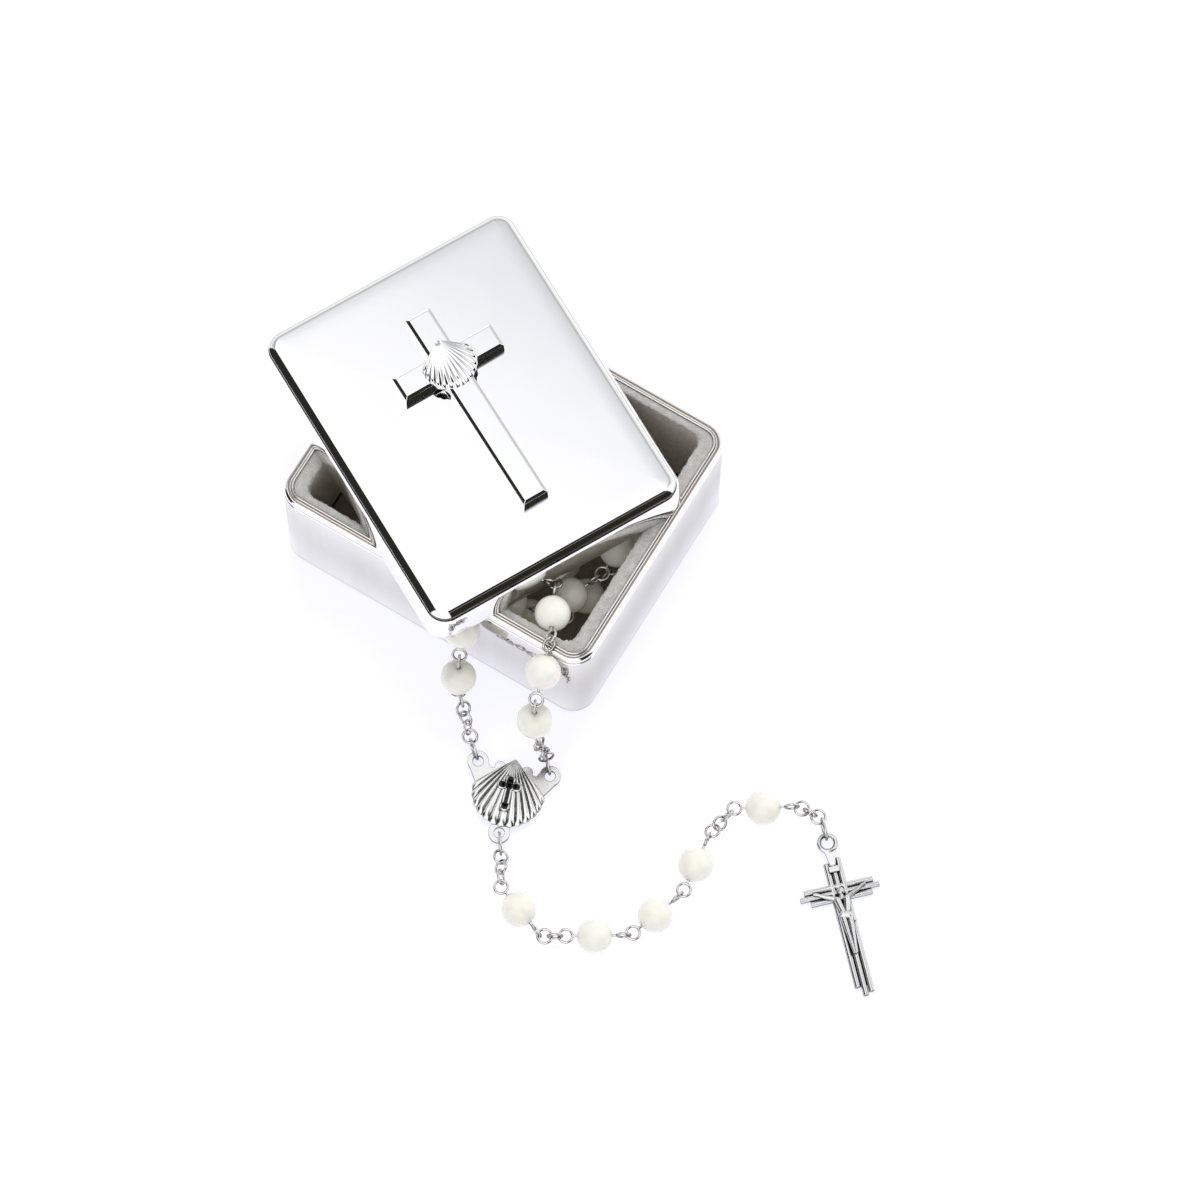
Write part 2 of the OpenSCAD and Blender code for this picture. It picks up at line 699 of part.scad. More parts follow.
// All beads of the loop in order, counted from the right strand; the first entry is left out
loop = concat([0], right_strand, coiled, rising, [left_strand[2], left_strand[1], left_strand[0]]);

// Sub-parts of the rosary
module loop_beads(low, high)
    for (i = [low : high])
        if (!is_large(i))
            draw_bead(loop[i]);
module loop_pins(low, high)
    for (i = [low : high])
        if (!is_large(i))
            draw_pin(loop[i]);
module right_strand_beads() loop_beads(1, 3);
module right_strand_pins() loop_pins(1, 3);
module right_strand_rings()
    for (e = right_rings)
        draw_ring(e);
module left_strand_beads() loop_beads(52, 54);
module left_strand_pins() loop_pins(52, 54);
module left_strand_rings()
    for (e = left_rings)
        draw_ring(e);
module decade_1_beads() loop_beads(4, 10);
module decade_1_pins() loop_pins(4, 10);
module decade_2_beads() loop_beads(12, 21);
module decade_2_pins() loop_pins(12, 21);
module decade_3_beads() loop_beads(23, 32);
module decade_3_pins() loop_pins(23, 32);
module decade_4_beads() loop_beads(34, 43);
module decade_4_pins() loop_pins(34, 43);
module decade_5_beads() loop_beads(45, 51);
module decade_5_pins() loop_pins(45, 51);
module large_prayer_beads()
    for (i = [11, 22, 33, 44])
        draw_bead(loop[i]);
module large_prayer_pins()
    for (i = [11, 22, 33, 44])
        draw_pin(loop[i]);
module decade_rings()
    for (i = [5 : 51])
        if (is_gap(i))
            for (e = run(front_wire(loop[i - 1]), rear_wire(loop[i]), 90, 90))
                draw_ring(e);

module medal_rings()
    for (e = pendant_rings[0])
        draw_ring(e);
module rings_2()
    for (e = pendant_rings[1])
        draw_ring(e);
module rings_5()
    for (e = pendant_rings[2])
        draw_ring(e);
module crucifix_rings()
    for (e = pendant_rings[3])
        draw_ring(e);
module bead_1() draw_bead(pendant_1);
module bead_2() draw_bead(pendant_2);
module bead_3() draw_bead(pendant_3);
module bead_4() draw_bead(pendant_4);
module bead_5() draw_bead(pendant_5);
module eye_pin_1() draw_pin(pendant_1);
module eye_pin_2() draw_pin(pendant_2);
module eye_pin_3() draw_pin(pendant_3);
module eye_pin_4() draw_pin(pendant_4);
module eye_pin_5() draw_pin(pendant_5);

// Medal: a plate with three bored lugs, and a scallop relief with a sunk budded cross
module on_medal_frame(z)
    translate([medal_at.x, medal_at.y, z])
        rotate([0, 0, medal_turn])
            children();
module medal_ear_and_lug() {
    translate([lug_side, lug_up])
        circle(d = lug_d);
    polygon([
        [lug_side - 0.3 * lug_d, lug_up + 0.38 * lug_d], [0.2 * medal_w, 0.1 * medal_l],
        [0.45 * medal_w, 0], [lug_side + 0.47 * lug_d, lug_up - 0.15 * lug_d]
    ]);
    for (k = [0 : 2])
        translate([medal_w * (0.19 + 0.1 * k), medal_l * (0.36 - 0.1 * k)])
            circle(medal_ear * (1 - 0.15 * k));
}
module medal_outline() {
    polygon(concat(
        [for (i = [-24 : 24]) fan_rim(i / 24, medal_w - 0.6, medal_l - 0.6, medal_ribs, medal_spread)],
        [[0, medal_l / 2 - 0.3]]
    ));
    medal_ear_and_lug();
    mirror([1, 0])
        medal_ear_and_lug();
    translate([0, lug_down])
        circle(d = lug_d);
    translate([0, lug_down + lug_d / 2])
        square([0.9 * lug_d, lug_d], center = true);
}
module medal_plate()
    color(dark_silver)
        on_medal_frame(medal_lift)
            linear_extrude(medal_t)
                difference() {
                    medal_outline();
                    for (lug = [[-lug_side, lug_up], [lug_side, lug_up], [0, lug_down]])
                        translate(lug)
                            circle(d = lug_hole);
                }
module budded_cross(l, w, bud) {
    square([w, l], center = true);
    translate([0, 0.27 * l])
        square([0.54 * l, w], center = true);
    for (at = [[0, l / 2], [0, -l / 2], [0.27 * l, 0.27 * l], [-0.27 * l, 0.27 * l]])
        translate(at)
            circle(bud);
}
module medal_scallop()
    color(dark_silver)
        on_medal_frame(medal_lift + medal_t)
            difference() {
                union() {
                    scallop(medal_w, medal_l, medal_ribs, medal_spread,
                        medal_edge, medal_rise, medal_rib, 4, 8);
                    translate([0, -0.04 * medal_l, 0])
                        linear_extrude(medal_edge + medal_rise + medal_rib)
                            budded_cross(medal_cross_l, medal_cross_bar + 2 * medal_border,
                                medal_bud + medal_border);
                }
                translate([0, -0.04 * medal_l, medal_edge])
                    linear_extrude(2 * medal_l)
                        budded_cross(medal_cross_l, medal_cross_bar, medal_bud);
            }

// Crucifix: three rods each way on a thin backing, with a neck and a hanging ring
module in_crucifix()
    translate([hanger_at.x, hanger_at.y, 0])
        rotate([0, 0, crucifix_turn])
            translate([0, -hanger_d / 2 - neck_l - crucifix_arm, 0])
                children();
module rod(from, to)
    translate([from.x, from.y, rod_z])
        rotate([0, 90, atan2(to.y - from.y, to.x - from.x)])
            cylinder(d = rod_d, h = norm(to - from));

// The outer rods stop short of the middle one, each by its own share of the longest stop
module crucifix_rods() {
    foot = crucifix_arm - crucifix_l;
    rod([0, crucifix_arm], [0, foot]);
    rod([-rod_pitch, crucifix_arm - 0.7 * rod_stop], [-rod_pitch, foot + rod_stop]);
    rod([rod_pitch, crucifix_arm - 0.25 * rod_stop], [rod_pitch, foot + 0.3 * rod_stop]);
    rod([-crucifix_w / 2, 0], [crucifix_w / 2, 0]);
    rod([0.55 * rod_stop - crucifix_w / 2, rod_pitch], [crucifix_w / 2 - 0.55 * rod_stop, rod_pitch]);
    rod([rod_stop - crucifix_w / 2, -rod_pitch], [crucifix_w / 2 - 0.9 * rod_stop, -rod_pitch]);
}
module crucifix_backing() {
    w = 2.6 * rod_pitch;
    translate([-w / 2, crucifix_arm - crucifix_l + 1.1 * rod_stop, rod_z - rod_d / 2])
        cube([w, crucifix_l - 2 * rod_stop, 0.35 * rod_d]);
    translate([1.1 * rod_stop - crucifix_w / 2, -w / 2, rod_z - rod_d / 2])
        cube([crucifix_w - 2.2 * rod_stop, w, 0.35 * rod_d]);
}

// The neck is a flat tab that widens and rises to the hanging ring
module crucifix_neck() {
    from = crucifix_arm - 1.6 * rod_d;
    rise = hanger_z - rod_z - 0.2 * rod_d;
    reach = crucifix_arm + neck_l - from;
    translate([0, from, rod_z + 0.2 * rod_d])
        rotate([atan2(rise, reach), 0, 0])
            linear_extrude(0.6 * rod_d, center = true)
                polygon([
                    [-0.45 * rod_d, 0], [0.45 * rod_d, 0],
                    [0.33 * hanger_d, norm([reach, rise])], [-0.33 * hanger_d, norm([reach, rise])]
                ]);
    translate([0, crucifix_arm + neck_l + hanger_d / 2, hanger_z])
        round_ring(hanger_d, hanger_t);
}
module crucifix_cross()
    color(dark_silver)
        in_crucifix() {
            crucifix_rods();
            crucifix_backing();
            crucifix_neck();
        }
module crucifix_title()
    color(dark_silver)
        in_crucifix()
            translate([-title_w / 2, 0.55 * crucifix_arm, rod_z + rod_d / 2 + seat_gap])
                cube([title_w, title_h, 0.35 * rod_d]);

// A small calm figure, its back flat on the rods, drawn twelve high and scaled to its height
module limb(a, b, ra, rb)
    hull() {
        translate(a)
            sphere(ra, $fn = 14);
        translate(b)
            sphere(rb, $fn = 14);
    }
module figure_arm() {
    limb([0.9, -1.25, 0.35], [2.6, -0.5, 0.3], 0.42, 0.34);
    limb([2.6, -0.5, 0.3], [3.8, 0.2, 0.3], 0.34, 0.26);
    limb([3.8, 0.2, 0.3], [4.3, 0.35, 0.3], 0.29, 0.24);
}
module figure_leg() {
    limb([0.55, -4.7, 0.4], [0.42, -7.1, 0.45], 0.55, 0.44);
    limb([0.42, -7.1, 0.45], [0.22, -10, 0.3], 0.42, 0.3);
    limb([0.22, -10, 0.3], [0.2, -10.8, 0.35], 0.32, 0.25);
}
module figure_half() {
    figure_arm();
    figure_leg();
    limb([0.8, -1.5, 0.4], [0.38, -3.5, 0.35], 0.66, 0.55);
}
module crucifix_figure()
    color(dark_silver)
        in_crucifix()
            translate([0, 0, rod_z + rod_d / 2 + seat_gap])
                scale(figure_h / 12)
                    intersection() {
                        translate([-8, -16, 0])
                            cube([16, 32, 4]);
                        union() {
                            translate([0.1, -0.1, 0.55])
                                sphere(0.68, $fn = 18);
                            limb([0.1, -0.3, 0.45], [0, -1.2, 0.35], 0.38, 0.45);
                            figure_half();
                            mirror([1, 0, 0])
                                figure_half();
                            limb([-0.55, -4.1, 0.4], [0.5, -4.35, 0.4], 0.66, 0.7);
                            limb([0.95, -3.9, 0.35], [1.25, -5.3, 0.2], 0.38, 0.3);
                        }
                    }

base_shell();
base_lining();
base_pad();
lid_shell();
lid_pad();
lid_cross();
lid_scallop();
medal_plate();
medal_scallop();
medal_rings();
bead_1();
bead_2();
bead_3();
bead_4();
bead_5();
eye_pin_1();
eye_pin_2();
eye_pin_3();
eye_pin_4();
eye_pin_5();
rings_2();
rings_5();
crucifix_rings();
crucifix_cross();
crucifix_figure();
crucifix_title();
right_strand_beads();
right_strand_pins();
right_strand_rings();
left_strand_beads();
left_strand_pins();
left_strand_rings();
decade_1_beads();
decade_1_pins();
decade_2_beads();
decade_2_pins();
decade_3_beads();
decade_3_pins();
decade_4_beads();
decade_4_pins();
decade_5_beads();
decade_5_pins();
large_prayer_beads();
large_prayer_pins();
decade_rings();
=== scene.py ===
"""Looks of the keepsake box with its rosary: plated metal, flocked lining, pearl beads and antique silver."""

import math
from collections import namedtuple

import bmesh
import bpy
from mathutils import Matrix, Vector, noise


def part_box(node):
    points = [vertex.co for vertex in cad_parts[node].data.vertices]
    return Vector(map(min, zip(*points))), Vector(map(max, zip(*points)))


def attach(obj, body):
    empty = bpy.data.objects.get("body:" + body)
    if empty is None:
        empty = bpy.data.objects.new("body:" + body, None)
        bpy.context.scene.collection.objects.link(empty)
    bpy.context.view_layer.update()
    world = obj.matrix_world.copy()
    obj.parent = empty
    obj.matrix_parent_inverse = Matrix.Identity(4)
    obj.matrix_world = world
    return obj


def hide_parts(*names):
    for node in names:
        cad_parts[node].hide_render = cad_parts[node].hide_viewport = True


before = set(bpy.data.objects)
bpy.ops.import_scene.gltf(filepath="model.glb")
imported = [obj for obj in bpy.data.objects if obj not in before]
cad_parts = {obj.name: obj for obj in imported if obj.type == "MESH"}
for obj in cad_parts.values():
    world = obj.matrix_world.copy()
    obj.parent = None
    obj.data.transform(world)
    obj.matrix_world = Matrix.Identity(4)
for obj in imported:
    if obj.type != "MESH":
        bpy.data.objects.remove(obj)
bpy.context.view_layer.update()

MM = 0.001

# Box, in millimetres: the sizes that its solids have too
CORNER_R = 4.1
WALL = 1.1
BASE_FLOOR = 1.2
FOOT_R = 0.9
BASE_H = 25.6
RIM_W = 1.6
LIP_RISE = 0.3
# How far the flat floor and the lid's ceiling run in from the walls before they close to their middle
PLATE_REACH = 3.9

# Moulding of the rim: the outer bead, then two grooves with a fine rib between them
BEAD_R = 0.75
FINE_R = 0.13
FINE_RIB_IN = 0.31
FINE_RIB_DROP = 0.06
# Each groove's start and end inward of the bead, and its depth
FIRST_GROOVE = (0.02, 0.17, 0.14)
SECOND_GROOVE = (0.46, 0.6, 0.05)
# Fine line under the bead: its edges below the top of the moulding, its depth and its eased edges
LINE_LOW = 1.6
LINE_HIGH = 1.15
LINE_DEPTH = 0.16
LINE_EASE = 0.05
LINE_UPPER_EASE = 0.07
# Drop from the rim's inner edge to the top of the wall
RIM_SLOPE = 0.4

# Flocked liner: its width along the long and short walls, its drop below the lip, and its gap to the lip
LINING_LONG = 1.4
LINING_SHORT = 2.4
LEDGE_DROP = 0.3
LINING_GAP = 0.1
LINING_R = 2.0
LINING_FOOT = 2.0
# The ledge's cross-section: share of the way inward, and height above or below the ledge
LEDGE_PROFILE = [(0.0, -0.9), (0.0, -0.1), (0.12, 0.0), (0.5, 0.03), (0.82, -0.03), (0.95, -0.18),
                 (1.0, -0.5), (1.0, -1.2), (1.0, -3.0)]
INNER_WALL_STEP = 4.2
INNER_WALL_STEPS = 5
# The ragged edge: its reach, what is left of it from a certain drop down, and its effect on the height
RAGGED = 0.2
RAGGED_BELOW = 0.5
CALM_DROP = -2.0
RAGGED_HEIGHT = 0.06
RAGGED_START = 1.2
# Its coarse wander and finer tufts: how close they follow each other along the edge and down the wall
WANDER = 2.6
WANDER_DOWN = 1.1
TUFTS = 6.5
TUFTS_DOWN = 2.0
TUFTS_SHIFT = 7
TUFTS_SHARE = 0.6
# Depth below the ledge where the inner walls' flock starts: the walls lie in shade, and their flock is
# painted lighter and warmer as painted light
INNER_FLOCK_DROP = 0.7

# Flocked pads on the floor and under the lid: their corners, and the offsets and drops of their sides
FLOOR_PAD_R = 1.8
FLOOR_PAD_SIDE = [(0.0, 0.5), (-0.2, 0.12), (-0.7, 0.0)]
FLOOR_PAD_FOOT = [(-0.1, 0.0), (0.0, 0.2)]
PAD_UNEVENNESS = 0.05
PAD_TUFTS = 900
LID_PAD_R = 2.0
LID_PAD_SIDE = [(-0.05, 0.0), (0.0, 0.25), (-0.12, 0.48), (-0.5, 0.55)]
LID_PAD_GAP = 0.15
LID_PAD_DROP = 0.08

# Lid: its place and turn on the box, and its cross-section from the foot up
LID_AT = (-7.6, 2.5)
LID_TURN = math.radians(-28.2)
LID_OVER = 0.3
LID_T = 0.9
SKIRT_H = 6.1
FLARE = 0.5
STEP_W = 0.4
SHOULDER_W = 1.25
SHOULDER_H = 1.8
# Rolled foot of the skirt: its outer and inner heights, its lowest point and its softness
FOOT_OUTER = 0.06
FOOT_INNER = 0.02
FOOT_LOWEST_IN = 0.42
FOOT_SOFT = 0.14
# Chamfer at the skirt's top: places inward of the flare and below the skirt's top
SKIRT_CHAMFER = [(0.0, 0.52), (0.02, 0.46), (0.28, 0.06), (0.33, 0.0)]
# Crease between skirt and shoulder, dark by painted shade
CREASE_IN = 0.06
CREASE_BELOW = 0.08
CREASE_ABOVE = 0.1
# Tilt of the shoulder from the vertical, in degrees, at shares of its length from the flat top outward
SHOULDER_TILTS = [(0.0, 90.0), (0.06, 75.0), (0.92, 42.0), (1.0, 4.0)]
# The flat top: the width and height of its rolled border, and the crown of its middle
ROLL_W = 3.6
ROLL_H = 0.032
CROWN = 0.02
ROLL_PLACES = (0.3, 0.7, 1.1, 1.5)
MIDDLE_REACH = 22
# Inside of the skirt: its first step from the foot, and its drop below the skirt's top
SKIRT_INSIDE = (0.1, 0.6)
SKIRT_INSIDE_DROP = 0.4

# Cross on the lid
CROSS_L = 37.8
CROSS_W = 18.8
CROSS_BAR = 4.5
CROSS_T = 2.5
CROSS_BEVEL = 0.45
CROSS_ARM = 9.9
CROSS_OFF = 0.9
CROSS_TURN = math.radians(0.7)
CROSS_FOOT = 0.1
CROSS_SWELL = 0.02
CROSS_SHARE = 0.8
CROSS_EDGE = 0.09
CROSS_EDGE_ANGLE = 20

# Scallops: spread is half the fan's angle in degrees, edge the thickness of the rim before it is rounded,
# rise the swell of the middle and rib the height of the ribs
Fan = namedtuple("Fan", "width length ribs spread edge rise rib sharp")
LID_FAN = Fan(width=9.2, length=8.4, ribs=15, spread=107, edge=0.35, rise=0.85, rib=0.28, sharp=False)
MEDAL_FAN = Fan(width=12.0, length=11.4, ribs=13, spread=95, edge=0.25, rise=0.7, rib=0.26, sharp=True)
# Place of the lid's scallop below the crossing, as a share of its length
SCALLOP_DOWN = 0.05
# Ripple of the rim, its reach as a share of the length, and the sideways bow of the ribs
RIM_RIPPLE = 0.03
RIM_REACH = 0.52
FAN_BOW = 0.16
# Powers of the swell, of ribs that grow towards the rim and of sharp ribs
FAN_SWELL = 2.4
RIB_GROWTH = 4.5
SHARP_RIDGE = 0.3
SHARP_RISE = 3
# The hinge is lower than the rest for a short way
HINGE_LOW = 0.7
HINGE_REACH = 0.1
# The rim is rounded from this share of the way out, down to this height in millimetres
EDGE_FROM = 0.88
EDGE_H = 0.14

# Medal: its place and turn, its blackened grooves, and the small budded cross in its raised border
MEDAL_AT = (26.0, -41.6)
MEDAL_TURN = math.radians(18.7)
# Grooves start this far from the hinge, and their half width in degrees shrinks outward to nearly the angle
MEDAL_GROOVES_FROM = 2.6
MEDAL_GROOVE_ANGLE = 0.3
MEDAL_GROOVE_WIDTH = 1.2
# The cross: its arms and its place below the middle are shares of its own and of the shell's length
MEDAL_CROSS_L = 4.8
MEDAL_CROSS_BAR = 0.65
MEDAL_CROSS_BUD = 0.55
MEDAL_CROSS_ARM = 0.27
MEDAL_CROSS_LOW = 0.04
MEDAL_CROSS_FOOT = 0.3
MEDAL_BORDER = 0.25
MEDAL_BORDER_TOP = 1.33
MEDAL_CROSS_TOP = 1.36
BAR_EDGE = 0.03
BUD_EDGE = 0.05

# Camera: where it looks and from where, in degrees, metres and the photograph's pixels
CAMERA_TARGET = (0.02129, -0.00411, 0.0)
CAMERA_AZIMUTH = 30.05
CAMERA_ELEVATION = 71.23
CAMERA_ROLL = 1.06
CAMERA_DISTANCE = 1.098
FOCAL_PX = 6500.0
PHOTO_PX = 1200.0
SENSOR_MM = 36.0

# Studio: the floor and the one soft lamp, in metres and watts
FLOOR_REACH = 3.0
FLOOR_DROP = 0.00002
KEY_AT = (-0.15, 0.35, 0.95)
KEY_AIM = (0.02, -0.01, 0)
KEY_SIZE = 0.4
KEY_POWER = 4.0

base_low, base_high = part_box("base_shell")
BASE_L = (base_high.x - base_low.x) / MM
BASE_W = (base_high.y - base_low.y) / MM
RIM_TOP = base_high.z / MM
MOULDING_TOP = RIM_TOP - LIP_RISE
LID_L = BASE_L + LID_OVER
LID_W = BASE_W + LID_OVER
LID_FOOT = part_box("lid_shell")[0].z / MM
LID_TOP = SKIRT_H + SHOULDER_H - ROLL_H - CROWN
SHOULDER_X = FLARE + STEP_W
LID_EDGE = -SHOULDER_X - SHOULDER_W
LID_PLACE = Matrix.Translation((LID_AT[0] * MM, LID_AT[1] * MM, LID_FOOT * MM))
LID_FRAME = LID_PLACE @ Matrix.Rotation(LID_TURN, 4, "Z")
LID_MIDDLE = LID_FRAME @ Vector((0, 0, 0))
EMBLEM_PLACE = Matrix.Translation((0, CROSS_OFF * MM, (SKIRT_H + SHOULDER_H) * MM))
EMBLEM_FRAME = LID_FRAME @ EMBLEM_PLACE @ Matrix.Rotation(CROSS_TURN, 4, "Z")


def rgba(colour):
    """A colour as Blender's four numbers. One number is a grey, and a socket stays as it is."""
    if isinstance(colour, bpy.types.NodeSocket):
        return colour
    if isinstance(colour, float):
        return (colour, colour, colour, 1.0)
    return (*colour, 1.0)


class Shader:
    """The nodes of a material or of the world, with short ways to add and join them."""

    def __init__(self, name, tree=None):
        if tree is None:
            self.material = bpy.data.materials.new(name)
            self.material.use_nodes = True
            tree = self.material.node_tree
            tree.nodes.clear()
            self.output = tree.nodes.new("ShaderNodeOutputMaterial")
        self.tree = tree
        self.coords = None

    def node(self, kind, inputs=None, **settings):
        node = self.tree.nodes.new("ShaderNode" + kind)
        for key, value in settings.items():
            setattr(node, key, value)
        for key, value in (inputs or {}).items():
            self.feed(node.inputs[key], value)
        return node

    def feed(self, socket, value):
        """Joins another node's output to the socket, or sets a plain value on it."""
        if isinstance(value, bpy.types.NodeSocket):
            self.tree.links.new(value, socket)
        else:
            socket.default_value = value

    def math(self, operation, first, second=0.0):
        node = self.node("Math", {0: first, 1: second}, operation=operation)
        return node.outputs[0]

    def times(self, first, second):
        return self.math("MULTIPLY", first, second)

    def about_zero(self, value, amount):
        """A noise moved from about a half to about zero, and made smaller."""
        return self.times(self.math("SUBTRACT", value, 0.5), amount)

    def span(self, value, low, high, to_low=0.0, to_high=1.0, smooth=False):
        """Carries a value from one range over to another."""
        ranges = {"Value": value, "From Min": low, "From Max": high, "To Min": to_low, "To Max": to_high}
        kind = "SMOOTHSTEP" if smooth else "LINEAR"
        return self.node("MapRange", ranges, interpolation_type=kind).outputs[0]

    def dot(self, vector, direction):
        return self.node("VectorMath", {0: vector, 1: direction}, operation="DOT_PRODUCT").outputs["Value"]

    def split(self, vector):
        return self.node("SeparateXYZ", {0: vector}).outputs

    def ramp(self, factor, stops):
        node = self.node("ValToRGB")
        elements = node.color_ramp.elements
        while len(elements) > len(stops):
            elements.remove(elements[-1])
        while len(elements) < len(stops):
            elements.new(1.0)
        for element, (place, colour) in zip(elements, stops):
            element.position = place
            element.color = rgba(colour)
        self.feed(node.inputs[0], factor)
        return node.outputs[0]

    def mix(self, factor, first, second, blend="MIX"):
        """Blends two colours, which the node has as its inputs 6 and 7 and gives as its output 2."""
        inputs = {0: factor, 6: rgba(first), 7: rgba(second)}
        return self.node("Mix", inputs, data_type="RGBA", blend_type=blend).outputs[2]

    def noise(self, scale, detail=3.0, rough=0.5, vector=None):
        node = self.node("TexNoise", {"Scale": scale, "Detail": detail, "Roughness": rough})
        self.feed(node.inputs["Vector"], vector or self.object_coords())
        return node.outputs[0]

    def object_coords(self):
        if self.coords is None:
            self.coords = self.node("TexCoord").outputs["Object"]
        return self.coords

    def normal(self):
        return self.node("NewGeometry").outputs["Normal"]

    def bump(self, height, strength, distance, normal=None):
        node = self.node("Bump", {"Strength": strength, "Distance": distance, "Height": height})
        if normal:
            self.feed(node.inputs["Normal"], normal)
        return node.outputs[0]

    def principled(self, inputs):
        node = self.node("BsdfPrincipled", inputs)
        self.tree.links.new(node.outputs[0], self.output.inputs[0])
        return self.material


# Materials
def pressed_waves(shader, strength):
    """The slight waviness of pressed sheet metal."""
    return shader.bump(shader.noise(scale=70.0, detail=1.0), strength, distance=0.0004)


def plated_material(name, tint, rough):
    """Mirror plating with a breath of haze that varies."""
    shader = Shader(name)
    haze = shader.noise(scale=220.0, detail=4.0)
    roughness = shader.span(haze, low=0.35, high=0.7, to_low=rough, to_high=rough * 1.9)
    duller = [channel * 0.975 for channel in tint]
    colour = shader.mix(shader.noise(scale=60.0), duller, tint)
    return shader.principled({
        "Metallic": 1.0,
        "Base Color": colour,
        "Roughness": roughness,
        "Normal": pressed_waves(shader, strength=0.02),
    })


def flock_material(name, dark, light):
    """Short-piled flock: fine fibres, with a soft mottle and a sheen."""
    shader = Shader(name)
    fibres = shader.noise(scale=5200.0, detail=2.0)
    clumps = shader.noise(scale=900.0, detail=4.0, rough=0.65)
    tone = shader.math("ADD", shader.times(fibres, 0.45), shader.times(clumps, 0.55))
    colour = shader.ramp(tone, [(0.33, dark), (0.62, light)])
    height = shader.math("ADD", fibres, shader.times(clumps, 1.4))
    return shader.principled({
        "Base Color": colour,
        "Roughness": 0.95,
        "Sheen Weight": 0.35,
        "Sheen Roughness": 0.5,
        "Normal": shader.bump(height, strength=0.9, distance=0.00012),
    })


def pearl_material(name, warm, cool):
    """Mother-of-pearl glass: a milky body, cloudy bands, a clear skin and a faint painted glow."""
    shader = Shader(name)
    cloud = shader.noise(scale=170.0, rough=0.6)
    wave = {"Scale": 130.0, "Distortion": 5.0, "Detail": 2.0, "Detail Scale": 1.2}
    bands = shader.node("TexWave", wave, wave_type="BANDS")
    shader.feed(bands.inputs["Vector"], shader.object_coords())
    clouds = shader.ramp(cloud, [(0.3, 0.0), (0.7, 1.0)])
    colour = shader.mix(shader.mix(0.3, clouds, bands.outputs[0]), warm, cool)
    return shader.principled({
        "Base Color": colour,
        "Roughness": 0.24,
        "Subsurface Weight": 0.55,
        "Subsurface Radius": (1.0, 0.95, 0.8),
        "Subsurface Scale": 0.0012,
        "Specular IOR Level": 0.55,
        "Coat Weight": 0.6,
        "Coat Roughness": 0.06,
        # Painted light: a faint warm glow that brightens the beads
        "Emission Color": rgba((1.0, 0.95, 0.84)),
        "Emission Strength": 0.02,
    })


def painted_top_light(shader, normal, stops):
    """Painted light: silver made lighter on its upward faces and darker on its sides, with a slight random
    mottle.
    """
    height = shader.split(normal)[2]
    return shader.ramp(shader.math("ADD", height, shader.about_zero(shader.noise(scale=900.0), 0.12)), stops)


def wire_material(name, tint):
    """Drawn wire, lightly scuffed, with painted light: lighter on its upper faces and darker on its sides."""
    shader = Shader(name)
    scuff = shader.noise(scale=2500.0, rough=0.6)
    # Painted light on the upper faces and painted shade on the sides
    lit_tone = painted_top_light(shader, shader.normal(), [(0.0, 0.2), (0.3, 0.34), (0.58, 0.66), (0.82, 0.96)])
    colour = shader.mix(1.0, lit_tone, tint, "MULTIPLY")
    roughness = shader.span(scuff, low=0.3, high=0.7, to_low=0.1, to_high=0.26)
    return shader.principled({"Metallic": 1.0, "Base Color": colour, "Roughness": roughness})


def antique_material(name, bright, dark, reach):
    """Cast silver rubbed bright on its high places, with black left in recesses no wider than reach; painted
    light makes its upper faces lighter and its sides darker.
    """
    shader = Shader(name)
    open_sky = shader.node("AmbientOcclusion", {"Distance": reach}, samples=8).outputs["AO"]
    depth = shader.math("ADD", open_sky, shader.about_zero(shader.noise(scale=1800.0, detail=4.0), 0.25))
    edges = shader.node("Bevel", {"Radius": 0.0002}, samples=6).outputs[0]
    rubbed = shader.ramp(depth, [(0.42, 0.0), (0.72, 1.0)])
    # Painted light on the upper faces and painted shade on the sides
    lit_tone = painted_top_light(shader, edges, [(0.0, 0.14), (0.4, 0.42), (0.7, 0.86), (0.9, 1.0)])
    colour = shader.mix(rubbed, dark, shader.mix(1.0, lit_tone, bright, "MULTIPLY"))
    roughness = shader.span(rubbed, low=0.0, high=1.0, to_low=0.5, to_high=0.2)
    return shader.principled({
        "Metallic": 1.0,
        "Base Color": colour,
        "Roughness": roughness,
        "Normal": shader.bump(shader.noise(scale=1400.0), 0.12, 0.00008, edges),
    })


def base_plating(name):
    """The box's plating with painted shade: greyer on its end walls, darker towards +X, darkest at the foot
    and darker again towards the rim, with faint upright streaks; upward faces keep the plain tint.
    """
    shader = Shader(name)
    normal = shader.split(shader.normal())
    place = shader.split(shader.object_coords())
    # Painted shade: walls that face along X are greyer
    end_wall_shade = shader.span(shader.math("ABSOLUTE", normal[0]), low=0.35, high=0.95, smooth=True)
    upward = shader.span(normal[2], low=0.05, high=0.4, smooth=True)
    height = shader.span(place[2], low=0.0, high=0.024)
    # Painted shade: the walls darken from -X towards +X
    shade_along_x = shader.span(place[0], low=-0.03, high=0.03)
    upright = shader.node("Mapping", {"Vector": shader.object_coords(), "Scale": (1.0, 1.0, 0.03)}).outputs[0]
    grain = shader.noise(scale=150.0, rough=0.55, vector=upright)
    streaks = shader.ramp(grain, [(0.3, (0.9, 0.89, 0.875)), (0.7, 1.0)])
    wall = shader.mix(shade_along_x, (0.92, 0.918, 0.91), (0.83, 0.82, 0.8))
    wall = shader.mix(end_wall_shade, wall, (0.67, 0.662, 0.645))
    wall = shader.mix(1.0, wall, streaks, "MULTIPLY")
    # Painted shade: darkest at the foot, lightest just above it, darker again towards the rim
    height_shade = shader.ramp(height, [(0.0, 0.5), (0.035, 0.72), (0.09, 0.97), (0.4, 0.85), (1.0, 0.7)])
    wall = shader.mix(1.0, wall, height_shade, "MULTIPLY")
    return shader.principled({
        "Metallic": 1.0,
        "Base Color": shader.mix(upward, wall, (0.96, 0.96, 0.955)),
        "Roughness": 0.07,
        "Normal": pressed_waves(shader, strength=0.06),
    })


